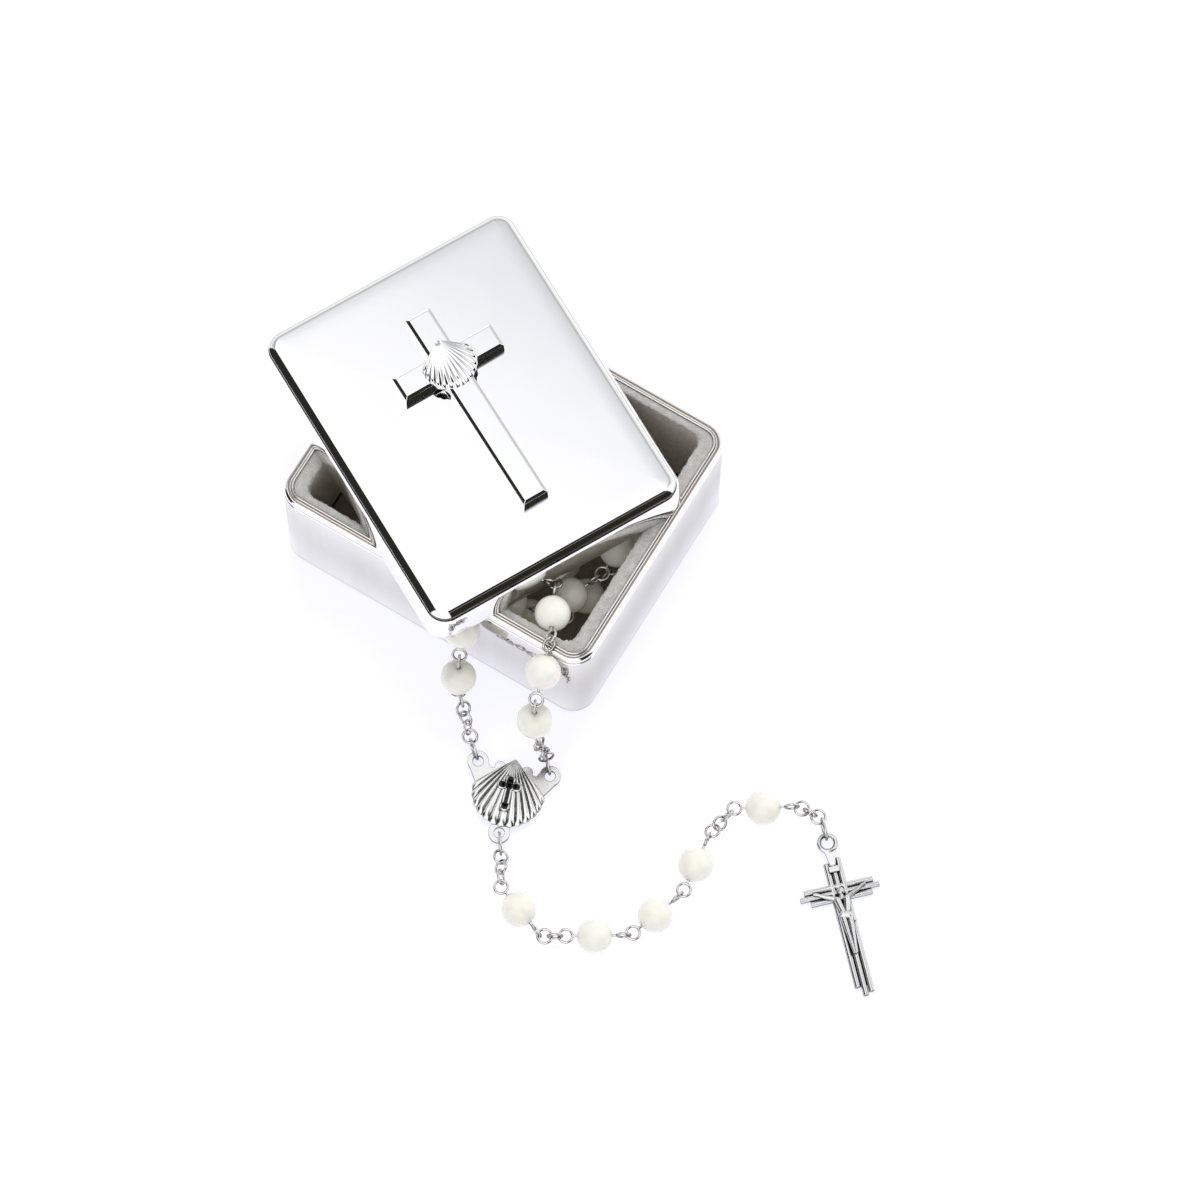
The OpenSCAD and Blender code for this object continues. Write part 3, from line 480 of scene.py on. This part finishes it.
PLATE = plated_material("plated_silver", (0.965, 0.963, 0.968), rough=0.03)
PLATE_BASE = base_plating("plated_base")
# Dark plating for the lid's crease and the foot of its shoulder: painted shade
CREASE = plated_material("plated_crease_shade", (0.11, 0.1, 0.085), rough=0.2)
# Darker plating for the rim's fine line and grooves: painted shade
RIM_GROOVE_SHADE = plated_material("rim_groove_shade", (0.45, 0.39, 0.34), rough=0.15)
BLACKENED = plated_material("blackened_silver", (0.05, 0.05, 0.05), rough=0.35)
EMBLEM = plated_material("plated_emblem", (0.965, 0.965, 0.972), rough=0.04)
FLOCK = flock_material("grey_flock", (0.38, 0.365, 0.34), (0.6, 0.585, 0.56))
# A lighter, warmer copy of the flock for the inner walls, which lie in shade: painted light
FLOCK_INNER_LIT = flock_material("inner_flock_lit", (0.58, 0.535, 0.455), (0.8, 0.755, 0.665))
# A darker copy of the flock for the pads on the floor and under the lid: painted shade
FLOCK_SHADED = flock_material("pad_flock_shaded", (0.33, 0.295, 0.235), (0.48, 0.435, 0.36))
PEARL = pearl_material("pearl", (0.95, 0.905, 0.8), (0.93, 0.93, 0.875))
WIRE = wire_material("silver_wire", (0.9, 0.88, 0.85))
MEDAL_SILVER = antique_material("medal_silver", (0.93, 0.93, 0.925), (0.12, 0.12, 0.115), reach=0.0002)
ANTIQUE = antique_material("antique_silver", (0.88, 0.88, 0.88), (0.03, 0.03, 0.032), reach=0.0006)


# Meshes
def add_object(name, shape, material, body, smooth_angle=35.0):
    mesh = bpy.data.meshes.new(name)
    bmesh.ops.recalc_face_normals(shape, faces=shape.faces)
    shape.to_mesh(mesh)
    shape.free()
    for polygon in mesh.polygons:
        polygon.use_smooth = True
    mesh.set_sharp_from_angle(angle=math.radians(smooth_angle))
    piece = bpy.data.objects.new(name, mesh)
    bpy.context.scene.collection.objects.link(piece)
    mesh.materials.append(material)
    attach(piece, body)
    return piece


def outline(length, width, radius, steps=16):
    """Points round a rounded rectangle with their outward directions, counter-clockwise."""
    path = []
    for quarter, (side_x, side_y) in enumerate(((1, 1), (-1, 1), (-1, -1), (1, -1))):
        x = side_x * (length / 2 - radius)
        y = side_y * (width / 2 - radius)
        for i in range(steps + 1):
            angle = math.radians(90 * quarter + 90 * i / steps)
            outward = Vector((math.cos(angle), math.sin(angle)))
            path.append((Vector((x + radius * math.cos(angle), y + radius * math.sin(angle))), outward))
    return path


def split_long(path, step):
    """The same closed path with extra points along its straight sides."""
    finer = []
    for i, (point, outward) in enumerate(path):
        next_point, next_outward = path[(i + 1) % len(path)]
        finer.append((point, outward))
        count = int((next_point - point).length // step)
        for k in range(1, count + 1):
            share = k / (count + 1)
            finer.append((point.lerp(next_point, share), outward.lerp(next_outward, share).normalized()))
    return finer


def arc(x, z, radius, start, end, steps):
    """Points of an arc round a centre, from one angle to another."""
    points = []
    for i in range(steps + 1):
        angle = math.radians(start + (end - start) * i / steps)
        points.append((x + radius * math.cos(angle), z + radius * math.sin(angle)))
    return points


def fillet(points, radius, steps=3):
    """Softens the corners of an open profile, each by a short curve."""
    soft = [points[0]]
    for before, corner, after in zip(points, points[1:], points[2:]):
        before, corner, after = Vector(before), Vector(corner), Vector(after)
        reach = min(radius, (before - corner).length * 0.45, (after - corner).length * 0.45)
        start = corner + (before - corner).normalized() * reach
        end = corner + (after - corner).normalized() * reach
        for i in range(steps + 1):
            share = i / steps
            place = start.lerp(corner, share).lerp(corner.lerp(end, share), share)
            soft.append((place.x, place.y))
    soft.append(points[-1])
    return soft


def join_rows(shape, lower, upper, shade=0):
    """Faces between two closed rows of vertices, in the piece's first or second material."""
    for i in range(len(lower)):
        j = (i + 1) % len(lower)
        face = shape.faces.new((lower[i], lower[j], upper[j], upper[i]))
        face.material_index = shade


def sweep(shape, path, profile, matrix=Matrix.Identity(4), dark=()):
    """Carries a profile of offsets and heights round a closed path, and returns its rows of vertices.

    The steps of the profile that dark names get the piece's second material.
    """
    rows = []
    for offset, height in profile:
        row = []
        for point, outward in path:
            x = (point.x + outward.x * offset) * MM
            y = (point.y + outward.y * offset) * MM
            row.append(shape.verts.new(matrix @ Vector((x, y, height * MM))))
        rows.append(row)
    for step, (lower, upper) in enumerate(zip(rows, rows[1:])):
        join_rows(shape, lower, upper, 1 if step in dark else 0)
    return rows


def cap(shape, row, middle, lift=None, rings=1):
    """Closes a row of vertices by rings that shrink to its middle. Lift gives each ring its extra height."""
    lift = lift or (lambda share: 0.0)
    last = row
    for k in range(1, rings):
        share = (k / rings) ** 1.5
        ring = []
        for vertex in row:
            place = vertex.co.lerp(Vector((middle.x, middle.y, vertex.co.z)), share)
            place.z += lift(share)
            ring.append(shape.verts.new(place))
        join_rows(shape, last, ring)
        last = ring
    tip = shape.verts.new(Vector((middle.x, middle.y, row[0].co.z + lift(1.0))))
    for i in range(len(row)):
        shape.faces.new((last[i], last[(i + 1) % len(row)], tip))


# Box
def groove(start, end, depth):
    """The floor of a groove in the rim."""
    return [(-BEAD_R - start, MOULDING_TOP - depth), (-BEAD_R - end, MOULDING_TOP - depth)]


def build_base():
    """The box's shell with its round foot, its moulded rim and its raised lip."""
    low_edge = MOULDING_TOP - LINE_LOW
    high_edge = MOULDING_TOP - LINE_HIGH
    outside = [(-PLATE_REACH, 0.0), (-FOOT_R, 0.0)]
    outside += arc(-FOOT_R, FOOT_R, FOOT_R, start=-90, end=0, steps=6)[1:]
    outside += [(0.0, low_edge - 3 * LINE_EASE), (-LINE_EASE, low_edge - LINE_EASE), (-LINE_DEPTH, low_edge)]
    line = [(-LINE_DEPTH, high_edge), (-LINE_EASE, high_edge + LINE_UPPER_EASE)]
    bead = arc(-BEAD_R, MOULDING_TOP - BEAD_R, BEAD_R, start=-12, end=84, steps=12)
    rib = arc(-BEAD_R - FINE_RIB_IN, MOULDING_TOP - FINE_RIB_DROP, FINE_R, start=4, end=172, steps=6)
    lip = arc(-RIM_W + FINE_R, RIM_TOP - FINE_R, FINE_R, start=0, end=176, steps=8)
    lip += [(-RIM_W, BASE_H - WALL)]
    inside = [(-WALL, BASE_H - WALL - RIM_SLOPE), (-WALL, BASE_FLOOR), (-PLATE_REACH, BASE_FLOOR)]
    to_bead = outside + line + bead
    to_rib = to_bead + groove(*FIRST_GROOVE) + rib
    profile = to_rib + groove(*SECOND_GROOVE) + lip + inside
    # Painted shade: the fine line under the bead and both grooves get the darker rim plating
    dark = {len(outside) - 1}
    for start in (len(to_bead) - 1, len(to_rib) - 1):
        dark.update(range(start, start + 3))
    shape = bmesh.new()
    rows = sweep(shape, outline(BASE_L, BASE_W, CORNER_R), profile, dark=dark)
    for row in (rows[0], rows[-1]):
        cap(shape, row, Vector((0, 0, 0)))
    piece = add_object("base_metal", shape, PLATE_BASE, "box")
    piece.data.materials.append(RIM_GROOVE_SHADE)
    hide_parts("base_shell")


def pull_in(point, reach_x, reach_y, radius):
    """The point itself where it lies inside a rounded rectangle, or else one near it on the edge."""
    near = Vector((max(-reach_x, min(reach_x, point.x)), max(-reach_y, min(reach_y, point.y))))
    over_x = abs(near.x) - (reach_x - radius)
    over_y = abs(near.y) - (reach_y - radius)
    if over_x > 0 and over_y > 0 and math.hypot(over_x, over_y) > radius:
        share = radius / math.hypot(over_x, over_y)
        x = math.copysign(reach_x - radius + over_x * share, near.x)
        y = math.copysign(reach_y - radius + over_y * share, near.y)
        near = Vector((x, y))
    return near


def raggedness(place, drop):
    """How far the flock's edge strays at a place: a coarse wander with finer tufts on it."""
    wander = noise.noise(Vector((place.x * WANDER, place.y * WANDER, drop * WANDER_DOWN)))
    tufts = noise.noise(Vector((place.x * TUFTS, place.y * TUFTS, drop * TUFTS_DOWN + TUFTS_SHIFT)))
    return wander + TUFTS_SHARE * tufts


def build_lining():
    """Flocked liner: a soft ledge with a ragged inner edge, then the inner walls, which lie in shade and get
    a lighter flock as painted light.
    """
    reach_x = (BASE_L - 2 * (RIM_W + LINING_SHORT)) / 2
    reach_y = (BASE_W - 2 * (RIM_W + LINING_LONG)) / 2
    ledge_z = RIM_TOP - LEDGE_DROP
    shrink = 2 * RIM_W + LINING_GAP
    rim = outline(BASE_L - shrink, BASE_W - shrink, CORNER_R - RIM_W, steps=10)
    outer = split_long(rim, step=0.35)
    wall_from = LEDGE_PROFILE[-1][1]
    levels = LEDGE_PROFILE + [(1.0, wall_from - INNER_WALL_STEP * k) for k in range(1, INNER_WALL_STEPS + 1)]
    shape = bmesh.new()
    rows = []
    for share, drop in levels:
        row = []
        amount = RAGGED * min(1.0, share * RAGGED_START) * (1.0 if drop > CALM_DROP else RAGGED_BELOW)
        for point, outward in outer:
            place = point.lerp(pull_in(point, reach_x, reach_y, LINING_R), share)
            ragged = raggedness(place, drop)
            inward = Vector((-outward.x, -outward.y)) * ragged * amount
            z = max(LINING_FOOT, ledge_z + drop + (RAGGED_HEIGHT * ragged if share > 0 else 0.0))
            x = place.x + inward.x
            y = place.y + inward.y
            row.append(shape.verts.new(Vector((x * MM, y * MM, z * MM))))
        rows.append(row)
    for lower, upper in zip(rows, rows[1:]):
        join_rows(shape, lower, upper)
    piece = add_object("flock_lining", shape, FLOCK, "box", smooth_angle=80)
    piece.data.materials.append(FLOCK_INNER_LIT)
    for polygon in piece.data.polygons:
        # The inner walls below the ledge get the lighter flock, as painted light against their shade
        if polygon.center.z < (ledge_z - INNER_FLOCK_DROP) * MM:
            polygon.material_index = 1
    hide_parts("base_lining")


def build_base_pad():
    """The flocked pad on the box's floor, with soft edges and a slightly uneven top."""
    shape = bmesh.new()
    low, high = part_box("base_pad")
    bottom = low.z / MM
    top = high.z / MM
    around = outline((high.x - low.x) / MM, (high.y - low.y) / MM, FLOOR_PAD_R, steps=6)
    profile = [(offset, bottom + rise) for offset, rise in FLOOR_PAD_FOOT]
    profile += [(offset, top - drop) for offset, drop in FLOOR_PAD_SIDE]
    rows = sweep(shape, split_long(around, step=2.0), profile)
    cap(shape, rows[-1], Vector((0, 0, 0)), rings=12)
    cap(shape, rows[0], Vector((0, 0, 0)))
    for vertex in shape.verts:
        if vertex.co.z > (top - PAD_UNEVENNESS) * MM:
            vertex.co.z += PAD_UNEVENNESS * MM * noise.noise(vertex.co * PAD_TUFTS)
    piece = add_object("flock_pad", shape, FLOCK_SHADED, "box", smooth_angle=80)
    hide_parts("base_pad")


# Lid
def shoulder_tilt(share):
    """The shoulder's tilt from the vertical at a share of its length."""
    for (start, start_tilt), (end, end_tilt) in zip(SHOULDER_TILTS, SHOULDER_TILTS[1:]):
        if start <= share <= end:
            return math.radians(start_tilt + (end_tilt - start_tilt) * (share - start) / (end - start))


def shoulder_curve(width, steps=24):
    """The lid's pressed shoulder, from its flat top outward: a long soft slope that turns down at its end."""
    points = [(0.0, 0.0)]
    for i in range(steps):
        tilt = shoulder_tilt((i + 0.5) / steps)
        points.append((points[-1][0] + math.sin(tilt), points[-1][1] - math.cos(tilt)))
    scale = width / points[-1][0]
    return [(x * scale, z * scale) for x, z in points]


def roll(inward):
    """How far the flat top has risen at a distance inward of its edge."""
    return ROLL_H * (1 - (1 - min(1.0, inward / ROLL_W)) ** 3)


def build_lid():
    """The lid's shell: a flared skirt, a crease with painted shade, the shoulder and the slightly crowned
    top.
    """
    curve = [(LID_EDGE + x, LID_TOP + z) for x, z in shoulder_curve(SHOULDER_W)]
    chamfer = [(-FLARE - inward, SKIRT_H - below) for inward, below in SKIRT_CHAMFER]
    foot = [(-LID_T, FOOT_INNER), (-FOOT_LOWEST_IN, 0.0), (0.0, FOOT_OUTER)]
    skirt = fillet(foot + chamfer[:1], FOOT_SOFT) + chamfer[1:]
    crease_x = -SHOULDER_X - CREASE_IN
    crease = [(crease_x, SKIRT_H - CREASE_BELOW), (crease_x, SKIRT_H + CREASE_ABOVE)]
    flat = [(LID_EDGE - inward, LID_TOP + roll(inward)) for inward in ROLL_PLACES]
    profile = skirt + crease + curve[::-1] + flat
    # Painted shade: the crease and the lowest steps of the shoulder get the dark plating
    dark = range(len(skirt), len(skirt) + 4)
    flat_from = ROLL_PLACES[-1]

    def crown(share):
        return (roll(flat_from + MIDDLE_REACH * share) - roll(flat_from) + CROWN * share) * MM

    shape = bmesh.new()
    path = outline(LID_L, LID_W, CORNER_R, steps=20)
    rows = sweep(shape, path, profile, LID_FRAME, dark)
    cap(shape, rows[-1], LID_MIDDLE, crown, rings=30)
    ceiling = LID_TOP - LID_T
    inner = [(-LID_T, FOOT_INNER), (-LID_T - SKIRT_INSIDE[0], SKIRT_INSIDE[1]),
             (-LID_T - FLARE, SKIRT_H - SKIRT_INSIDE_DROP), (LID_EDGE, ceiling), (-PLATE_REACH, ceiling)]
    under = sweep(shape, path, inner, LID_FRAME)
    cap(shape, under[-1], LID_MIDDLE)
    bmesh.ops.remove_doubles(shape, verts=shape.verts, dist=1e-7)
    piece = add_object("lid_metal", shape, PLATE, "lid", smooth_angle=40)
    piece.data.materials.append(CREASE)
    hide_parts("lid_shell")


def build_lid_pad():
    """The flocked pad under the lid's top."""
    shape = bmesh.new()
    shrink = 2 * (LID_T + FLARE + SHOULDER_W + LID_PAD_GAP)
    top = LID_TOP - LID_T - LID_PAD_DROP
    around = outline(BASE_L - shrink, BASE_W - shrink, LID_PAD_R, steps=6)
    profile = [(offset, top - drop) for offset, drop in LID_PAD_SIDE]
    rows = sweep(shape, split_long(around, step=1.5), profile, LID_FRAME)
    cap(shape, rows[-1], LID_MIDDLE, rings=10)
    cap(shape, rows[0], LID_MIDDLE)
    piece = add_object("lid_flock", shape, FLOCK_SHADED, "lid", smooth_angle=80)
    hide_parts("lid_pad")


def cross_outline(inset):
    """The lid cross's outline in the lid's frame, its head towards -X."""
    half_bar = CROSS_BAR / 2 - inset
    head = -CROSS_L / 2 + inset
    foot = CROSS_L / 2 - inset
    middle = CROSS_ARM - CROSS_L / 2
    arm = CROSS_W / 2 - inset
    return [(head, -half_bar), (middle - half_bar, -half_bar), (middle - half_bar, -arm),
            (middle + half_bar, -arm), (middle + half_bar, -half_bar), (foot, -half_bar),
            (foot, half_bar), (middle + half_bar, half_bar), (middle + half_bar, arm),
            (middle - half_bar, arm), (middle - half_bar, half_bar), (head, half_bar)]


def build_cross():
    """The lid's cross: upright sides on a slightly wider foot, and a bevelled top."""
    shape = bmesh.new()
    rows = []
    levels = [(-CROSS_FOOT, -CROSS_FOOT), (-CROSS_FOOT, 3 * CROSS_FOOT),
              (-CROSS_SWELL, CROSS_T - CROSS_BEVEL * CROSS_SHARE), (CROSS_BEVEL, CROSS_T)]
    for inset, height in levels:
        rows.append([shape.verts.new(Vector((x * MM, y * MM, height * MM))) for x, y in cross_outline(inset)])
    for lower, upper in zip(rows, rows[1:]):
        join_rows(shape, lower, upper)
    shape.faces.new(rows[0][::-1])
    shape.faces.new(rows[-1])
    bmesh.ops.transform(shape, matrix=EMBLEM_FRAME, verts=shape.verts)
    piece = add_object("cross_metal", shape, EMBLEM, "lid", smooth_angle=180)
    edge = piece.modifiers.new("edge", "BEVEL")
    edge.width = CROSS_EDGE * MM
    edge.segments = 3
    edge.limit_method = "ANGLE"
    edge.angle_limit = math.radians(CROSS_EDGE_ANGLE)
    edge.harden_normals = True
    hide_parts("lid_cross")


# Scallops: across runs over the fan from -1 to 1, and out from 0 at the hinge to 1 at the rim
def fan_rim(fan, across):
    """A place on the scallop's rim, from its hinge."""
    ripple = 1 + RIM_RIPPLE * abs(math.cos(math.pi / 2 * fan.ribs * across))
    angle = math.radians(fan.spread * across - 90)
    return fan.width / 2 * ripple * math.cos(angle), RIM_REACH * fan.length * ripple * math.sin(angle)


def fan_point(fan, across, out):
    """A point of the scallop's swelling, ribbed face, in millimetres."""
    x, y = fan_rim(fan, across)
    bow = FAN_BOW * fan.width * across * out * (1 - out) * (1 - abs(across))
    ridge = 0.5 + 0.5 * math.cos(math.pi * fan.ribs * across)
    z = fan.edge + fan.rise * (1 - out ** FAN_SWELL)
    if fan.sharp:
        z += fan.rib * (ridge ** SHARP_RIDGE * min(1, SHARP_RISE * out))
    else:
        z += fan.rib * (ridge * out ** RIB_GROWTH)
    z *= HINGE_LOW + (1 - HINGE_LOW) * min(1, out / HINGE_REACH) ** 0.5
    if out > EDGE_FROM:
        near_edge = (out - EDGE_FROM) / (1 - EDGE_FROM)
        z = EDGE_H + (z - EDGE_H) * math.sqrt(max(0.0, 1 - near_edge ** 2))
    return Vector((x * out + bow, fan.length / 2 * (1 - out) + y * out, z))


def scallop_mesh(shape, fan, matrix, per_rib=14, rings=30):
    """The face of the scallop with a low wall round it down to its foot."""
    spokes = fan.ribs * per_rib
    rows = []
    for i in range(spokes + 1):
        across = 2 * i / spokes - 1
        row = [fan_point(fan, across, j / rings) for j in range(1, rings + 1)]
        foot = row[-1].copy()
        foot.z = 0
        rows.append([shape.verts.new(matrix @ (point * MM)) for point in row + [foot]])
    tip = shape.verts.new(matrix @ (fan_point(fan, 0, 0) * MM))
    root = shape.verts.new(matrix @ (Vector((0, fan.length / 2, 0)) * MM))
    for left, right in zip(rows, rows[1:]):
        shape.faces.new((tip, right[0], left[0]))
        for j in range(rings):
            shape.faces.new((left[j], right[j], right[j + 1], left[j + 1]))
        shape.faces.new((root, left[-1], right[-1]))
    shape.faces.new([tip] + rows[0] + [root])
    shape.faces.new([root] + rows[-1][::-1] + [tip])


def build_lid_scallop():
    """The small scallop on the crossing of the lid's cross."""
    x = CROSS_ARM - CROSS_L / 2 + SCALLOP_DOWN * LID_FAN.length
    crossing = Matrix.Translation((x * MM, 0, CROSS_T * MM))
    place = EMBLEM_FRAME @ crossing @ Matrix.Rotation(math.pi / 2, 4, "Z")
    shape = bmesh.new()
    scallop_mesh(shape, LID_FAN, place)
    piece = add_object("scallop_metal", shape, EMBLEM, "lid", smooth_angle=50)
    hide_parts("lid_scallop")


# Medal
def disc(x, y, radius, steps=20):
    turn = 2 * math.pi / steps
    return [(x + radius * math.cos(turn * i), y + radius * math.sin(turn * i)) for i in range(steps)]


def rectangle(x, y, half_length, half_width):
    return [(x - half_length, y - half_width), (x + half_length, y - half_width),
            (x + half_length, y + half_width), (x - half_length, y + half_width)]


def slab(shape, points, low, high, matrix, shade, edge):
    """A flat piece with softened top edges."""
    middle_x = sum(x for x, y in points) / len(points)
    middle_y = sum(y for x, y in points) / len(points)
    reach = max(math.hypot(x - middle_x, y - middle_y) for x, y in points)
    rows = []
    for inset, height in ((0, low), (0, high - edge), (edge * 0.3, high - edge * 0.3), (edge, high)):
        scale = 1 - inset / reach
        row = []
        for x, y in points:
            place_x = (middle_x + (x - middle_x) * scale) * MM
            place_y = (middle_y + (y - middle_y) * scale) * MM
            row.append(shape.verts.new(matrix @ Vector((place_x, place_y, height * MM))))
        rows.append(row)
    for lower, upper in zip(rows, rows[1:]):
        join_rows(shape, lower, upper, shade)
    shape.faces.new(rows[-1]).material_index = shade


def blacken_grooves(shape, fan, place):
    """Gives the faces along the valleys between the medal's ribs its second material."""
    half = (fan.ribs + 1) // 2
    valleys = []
    for k in range(-half, half):
        x, y = fan_rim(fan, (2 * k + 1) / fan.ribs)
        valleys.append(math.degrees(math.atan2(x, fan.length / 2 - y)))
    back = place.inverted()
    for face in shape.faces:
        middle = back @ face.calc_center_median() / MM
        down = fan.length / 2 - middle.y
        angle = math.degrees(math.atan2(middle.x, down))
        off = min(abs(angle - valley) for valley in valleys)
        far = math.hypot(middle.x, down)
        if far > MEDAL_GROOVES_FROM and off < MEDAL_GROOVE_ANGLE + MEDAL_GROOVE_WIDTH / far:
            face.material_index = 1


def add_budded_cross(shape, place):
    """The medal's small blackened cross with a bud at each end, and the bright border round it."""
    middle_y = -MEDAL_CROSS_LOW * MEDAL_FAN.length
    half = MEDAL_CROSS_L / 2
    arm = MEDAL_CROSS_ARM * MEDAL_CROSS_L
    arm_y = middle_y + arm
    foot = MEDAL_CROSS_FOOT
    for grow, top, shade in ((MEDAL_BORDER, MEDAL_BORDER_TOP, 0), (0.0, MEDAL_CROSS_TOP, 1)):
        half_bar = MEDAL_CROSS_BAR / 2 + grow
        slab(shape, rectangle(0, middle_y, half_bar, half), foot, top, place, shade, BAR_EDGE)
        slab(shape, rectangle(0, arm_y, arm, half_bar), foot, top, place, shade, BAR_EDGE)
        for x, y in ((0, middle_y + half), (0, middle_y - half), (arm, arm_y), (-arm, arm_y)):
            slab(shape, disc(x, y, MEDAL_CROSS_BUD + grow), foot, top, place, shade, BUD_EDGE)


def build_medal():
    """The medal's shell with its blackened grooves and its cross."""
    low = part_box("medal_scallop")[0].z
    centre = Matrix.Translation((MEDAL_AT[0] * MM, MEDAL_AT[1] * MM, low))
    place = centre @ Matrix.Rotation(MEDAL_TURN, 4, "Z")
    shape = bmesh.new()
    scallop_mesh(shape, MEDAL_FAN, place, per_rib=20)
    blacken_grooves(shape, MEDAL_FAN, place)
    add_budded_cross(shape, place)
    piece = add_object("medal_shell", shape, MEDAL_SILVER, "box", smooth_angle=50)
    piece.data.materials.append(BLACKENED)
    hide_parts("medal_scallop")


# The other pieces keep the shape of their solids
def node_material(name):
    if "bead" in name:
        return PEARL
    if name in ("medal_plate", "medal_scallop", "crucifix_cross", "crucifix_figure", "crucifix_title"):
        return ANTIQUE
    if name.startswith(("base_", "lid_")):
        return PLATE
    return WIRE


def dress_nodes():
    for name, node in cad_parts.items():
        node.data.materials.clear()
        node.data.materials.append(node_material(name))


# Studio
def sky_patch(shader, vector, yaw, elevation, spread_yaw, spread_up, soft):
    """1 inside a patch of the sky round a direction, 0 outside, with a soft edge. Angles are in degrees."""
    cosine = math.cos(math.radians(yaw))
    sine = math.sin(math.radians(yaw))
    ahead = shader.dot(vector, (cosine, sine, 0))
    aside = shader.dot(vector, (-sine, cosine, 0))
    height = shader.split(vector)[2]
    around = shader.math("ABSOLUTE", shader.math("ARCTAN2", aside, ahead))
    upward = shader.math("SUBTRACT", shader.math("ARCSINE", height), math.radians(elevation))
    off_up = shader.math("ABSOLUTE", upward)
    wide = shader.span(around, math.radians(spread_yaw + soft), math.radians(spread_yaw), smooth=True)
    tall = shader.span(off_up, math.radians(spread_up + soft * 0.6), math.radians(spread_up), smooth=True)
    return shader.times(wide, tall)


def build_world():
    """A white studio: a greyer sky at the back, a dim band over the horizon and two dark side cards."""
    world = bpy.data.worlds.new("studio")
    bpy.context.scene.world = world
    world.use_nodes = True
    world.node_tree.nodes.clear()
    shader = Shader("world", world.node_tree)
    vector = shader.node("TexCoord").outputs["Generated"]
    height = shader.split(vector)[2]
    from_zero = shader.math("ADD", shader.times(height, 0.5), 0.5)
    sky = shader.ramp(from_zero, [(0.0, 0.9), (0.5, 0.87), (0.62, 0.97), (1.0, 1.0)])
    tilted = shader.dot(vector, (-0.165, -0.099, 0.981))
    back_sky = shader.ramp(tilted, [
        (0.0, 0.95), (0.3, 0.9), (0.55, 0.72), (0.7, 0.45), (0.84, 0.36), (0.889, 0.55),
        (0.905, (0.67, 0.68, 0.7)), (0.9135, (0.765, 0.775, 0.81)), (0.918, (0.87, 0.875, 0.9)),
        (0.922, (0.925, 0.925, 0.94)), (0.935, 1.0)])
    behind = sky_patch(shader, vector, yaw=120, elevation=45, spread_yaw=62, spread_up=80, soft=28)
    sky = shader.mix(behind, sky, back_sky)
    horizon = shader.ramp(height, [(0.0, 0.0), (0.02, 0.0), (0.06, 1.0), (0.14, 1.0), (0.22, 0.0)])
    sky = shader.mix(shader.times(horizon, 0.6), sky, (0.25, 0.245, 0.23))
    left_card = sky_patch(shader, vector, yaw=-143, elevation=28, spread_yaw=20, spread_up=31, soft=5)
    sky = shader.mix(left_card, sky, (0.02, 0.02, 0.016))
    right_card = sky_patch(shader, vector, yaw=-12, elevation=36, spread_yaw=19, spread_up=38, soft=6)
    sky = shader.mix(right_card, sky, (0.018, 0.018, 0.014))
    card_line = sky_patch(shader, vector, yaw=-12, elevation=58, spread_yaw=24, spread_up=1.2, soft=3)
    sky = shader.mix(shader.times(card_line, 0.22), sky, (0.8, 0.8, 0.78))
    background = shader.node("Background", {"Color": sky, "Strength": 1.12})
    output = shader.node("OutputWorld")
    shader.tree.links.new(background.outputs[0], output.inputs[0])


def build_floor():
    """A plain white sheet of paper under the object."""
    shape = bmesh.new()
    corners = []
    for x, y in ((-1, -1), (1, -1), (1, 1), (-1, 1)):
        corners.append(shape.verts.new((x * FLOOR_REACH, y * FLOOR_REACH, -FLOOR_DROP)))
    shape.faces.new(corners)
    mesh = bpy.data.meshes.new("floor")
    shape.to_mesh(mesh)
    shape.free()
    floor = bpy.data.objects.new("floor", mesh)
    bpy.context.scene.collection.objects.link(floor)
    shader = Shader("white_floor")
    mottle = shader.noise(scale=30.0, detail=2.0)
    mesh.materials.append(shader.principled({
        "Base Color": shader.mix(mottle, (0.315, 0.305, 0.285), (0.325, 0.315, 0.295)),
        "Roughness": 0.7,
        "Specular IOR Level": 0.1,
        "Emission Color": rgba((0.89, 0.895, 1.0)),
        "Emission Strength": 0.87,
    }))


def add_key_light():
    """One soft lamp, which the plated metal doesn't mirror."""
    lamp = bpy.data.lights.new("key", "AREA")
    lamp.size = KEY_SIZE
    lamp.energy = KEY_POWER
    light = bpy.data.objects.new("key", lamp)
    bpy.context.scene.collection.objects.link(light)
    light.location = KEY_AT
    light.visible_glossy = False
    light.rotation_euler = (Vector(KEY_AIM) - Vector(KEY_AT)).to_track_quat("-Z", "Y").to_euler()


def build_camera():
    """The camera at the photograph's place, found from the edges of the box."""
    azimuth = math.radians(CAMERA_AZIMUTH)
    elevation = math.radians(CAMERA_ELEVATION)
    roll_angle = math.radians(CAMERA_ROLL)
    level = math.cos(elevation)
    back = Vector((math.sin(azimuth) * level, -math.cos(azimuth) * level, math.sin(elevation)))
    right = Vector((math.cos(azimuth), math.sin(azimuth), 0))
    up = back.cross(right)
    rolled_right = right * math.cos(roll_angle) + up * math.sin(roll_angle)
    rolled_up = up * math.cos(roll_angle) - right * math.sin(roll_angle)
    turn = Matrix((rolled_right, rolled_up, back)).transposed()
    lens = bpy.data.cameras.new("photo_camera")
    lens.sensor_width = SENSOR_MM
    lens.lens = SENSOR_MM * FOCAL_PX / PHOTO_PX
    lens.clip_start = 0.01
    lens.clip_end = 20.0
    camera = bpy.data.objects.new("photo_camera", lens)
    bpy.context.scene.collection.objects.link(camera)
    place = Vector(CAMERA_TARGET) + back * CAMERA_DISTANCE
    camera.matrix_world = Matrix.Translation(place) @ turn.to_4x4()
    bpy.context.scene.camera = camera


dress_nodes()
build_base()
build_lining()
build_base_pad()
build_lid()
build_lid_pad()
build_cross()
build_lid_scallop()
build_medal()
build_world()
build_floor()
add_key_light()
build_camera()

bpy.context.scene.view_settings.view_transform = "Standard"
bpy.context.scene.view_settings.look = "None"
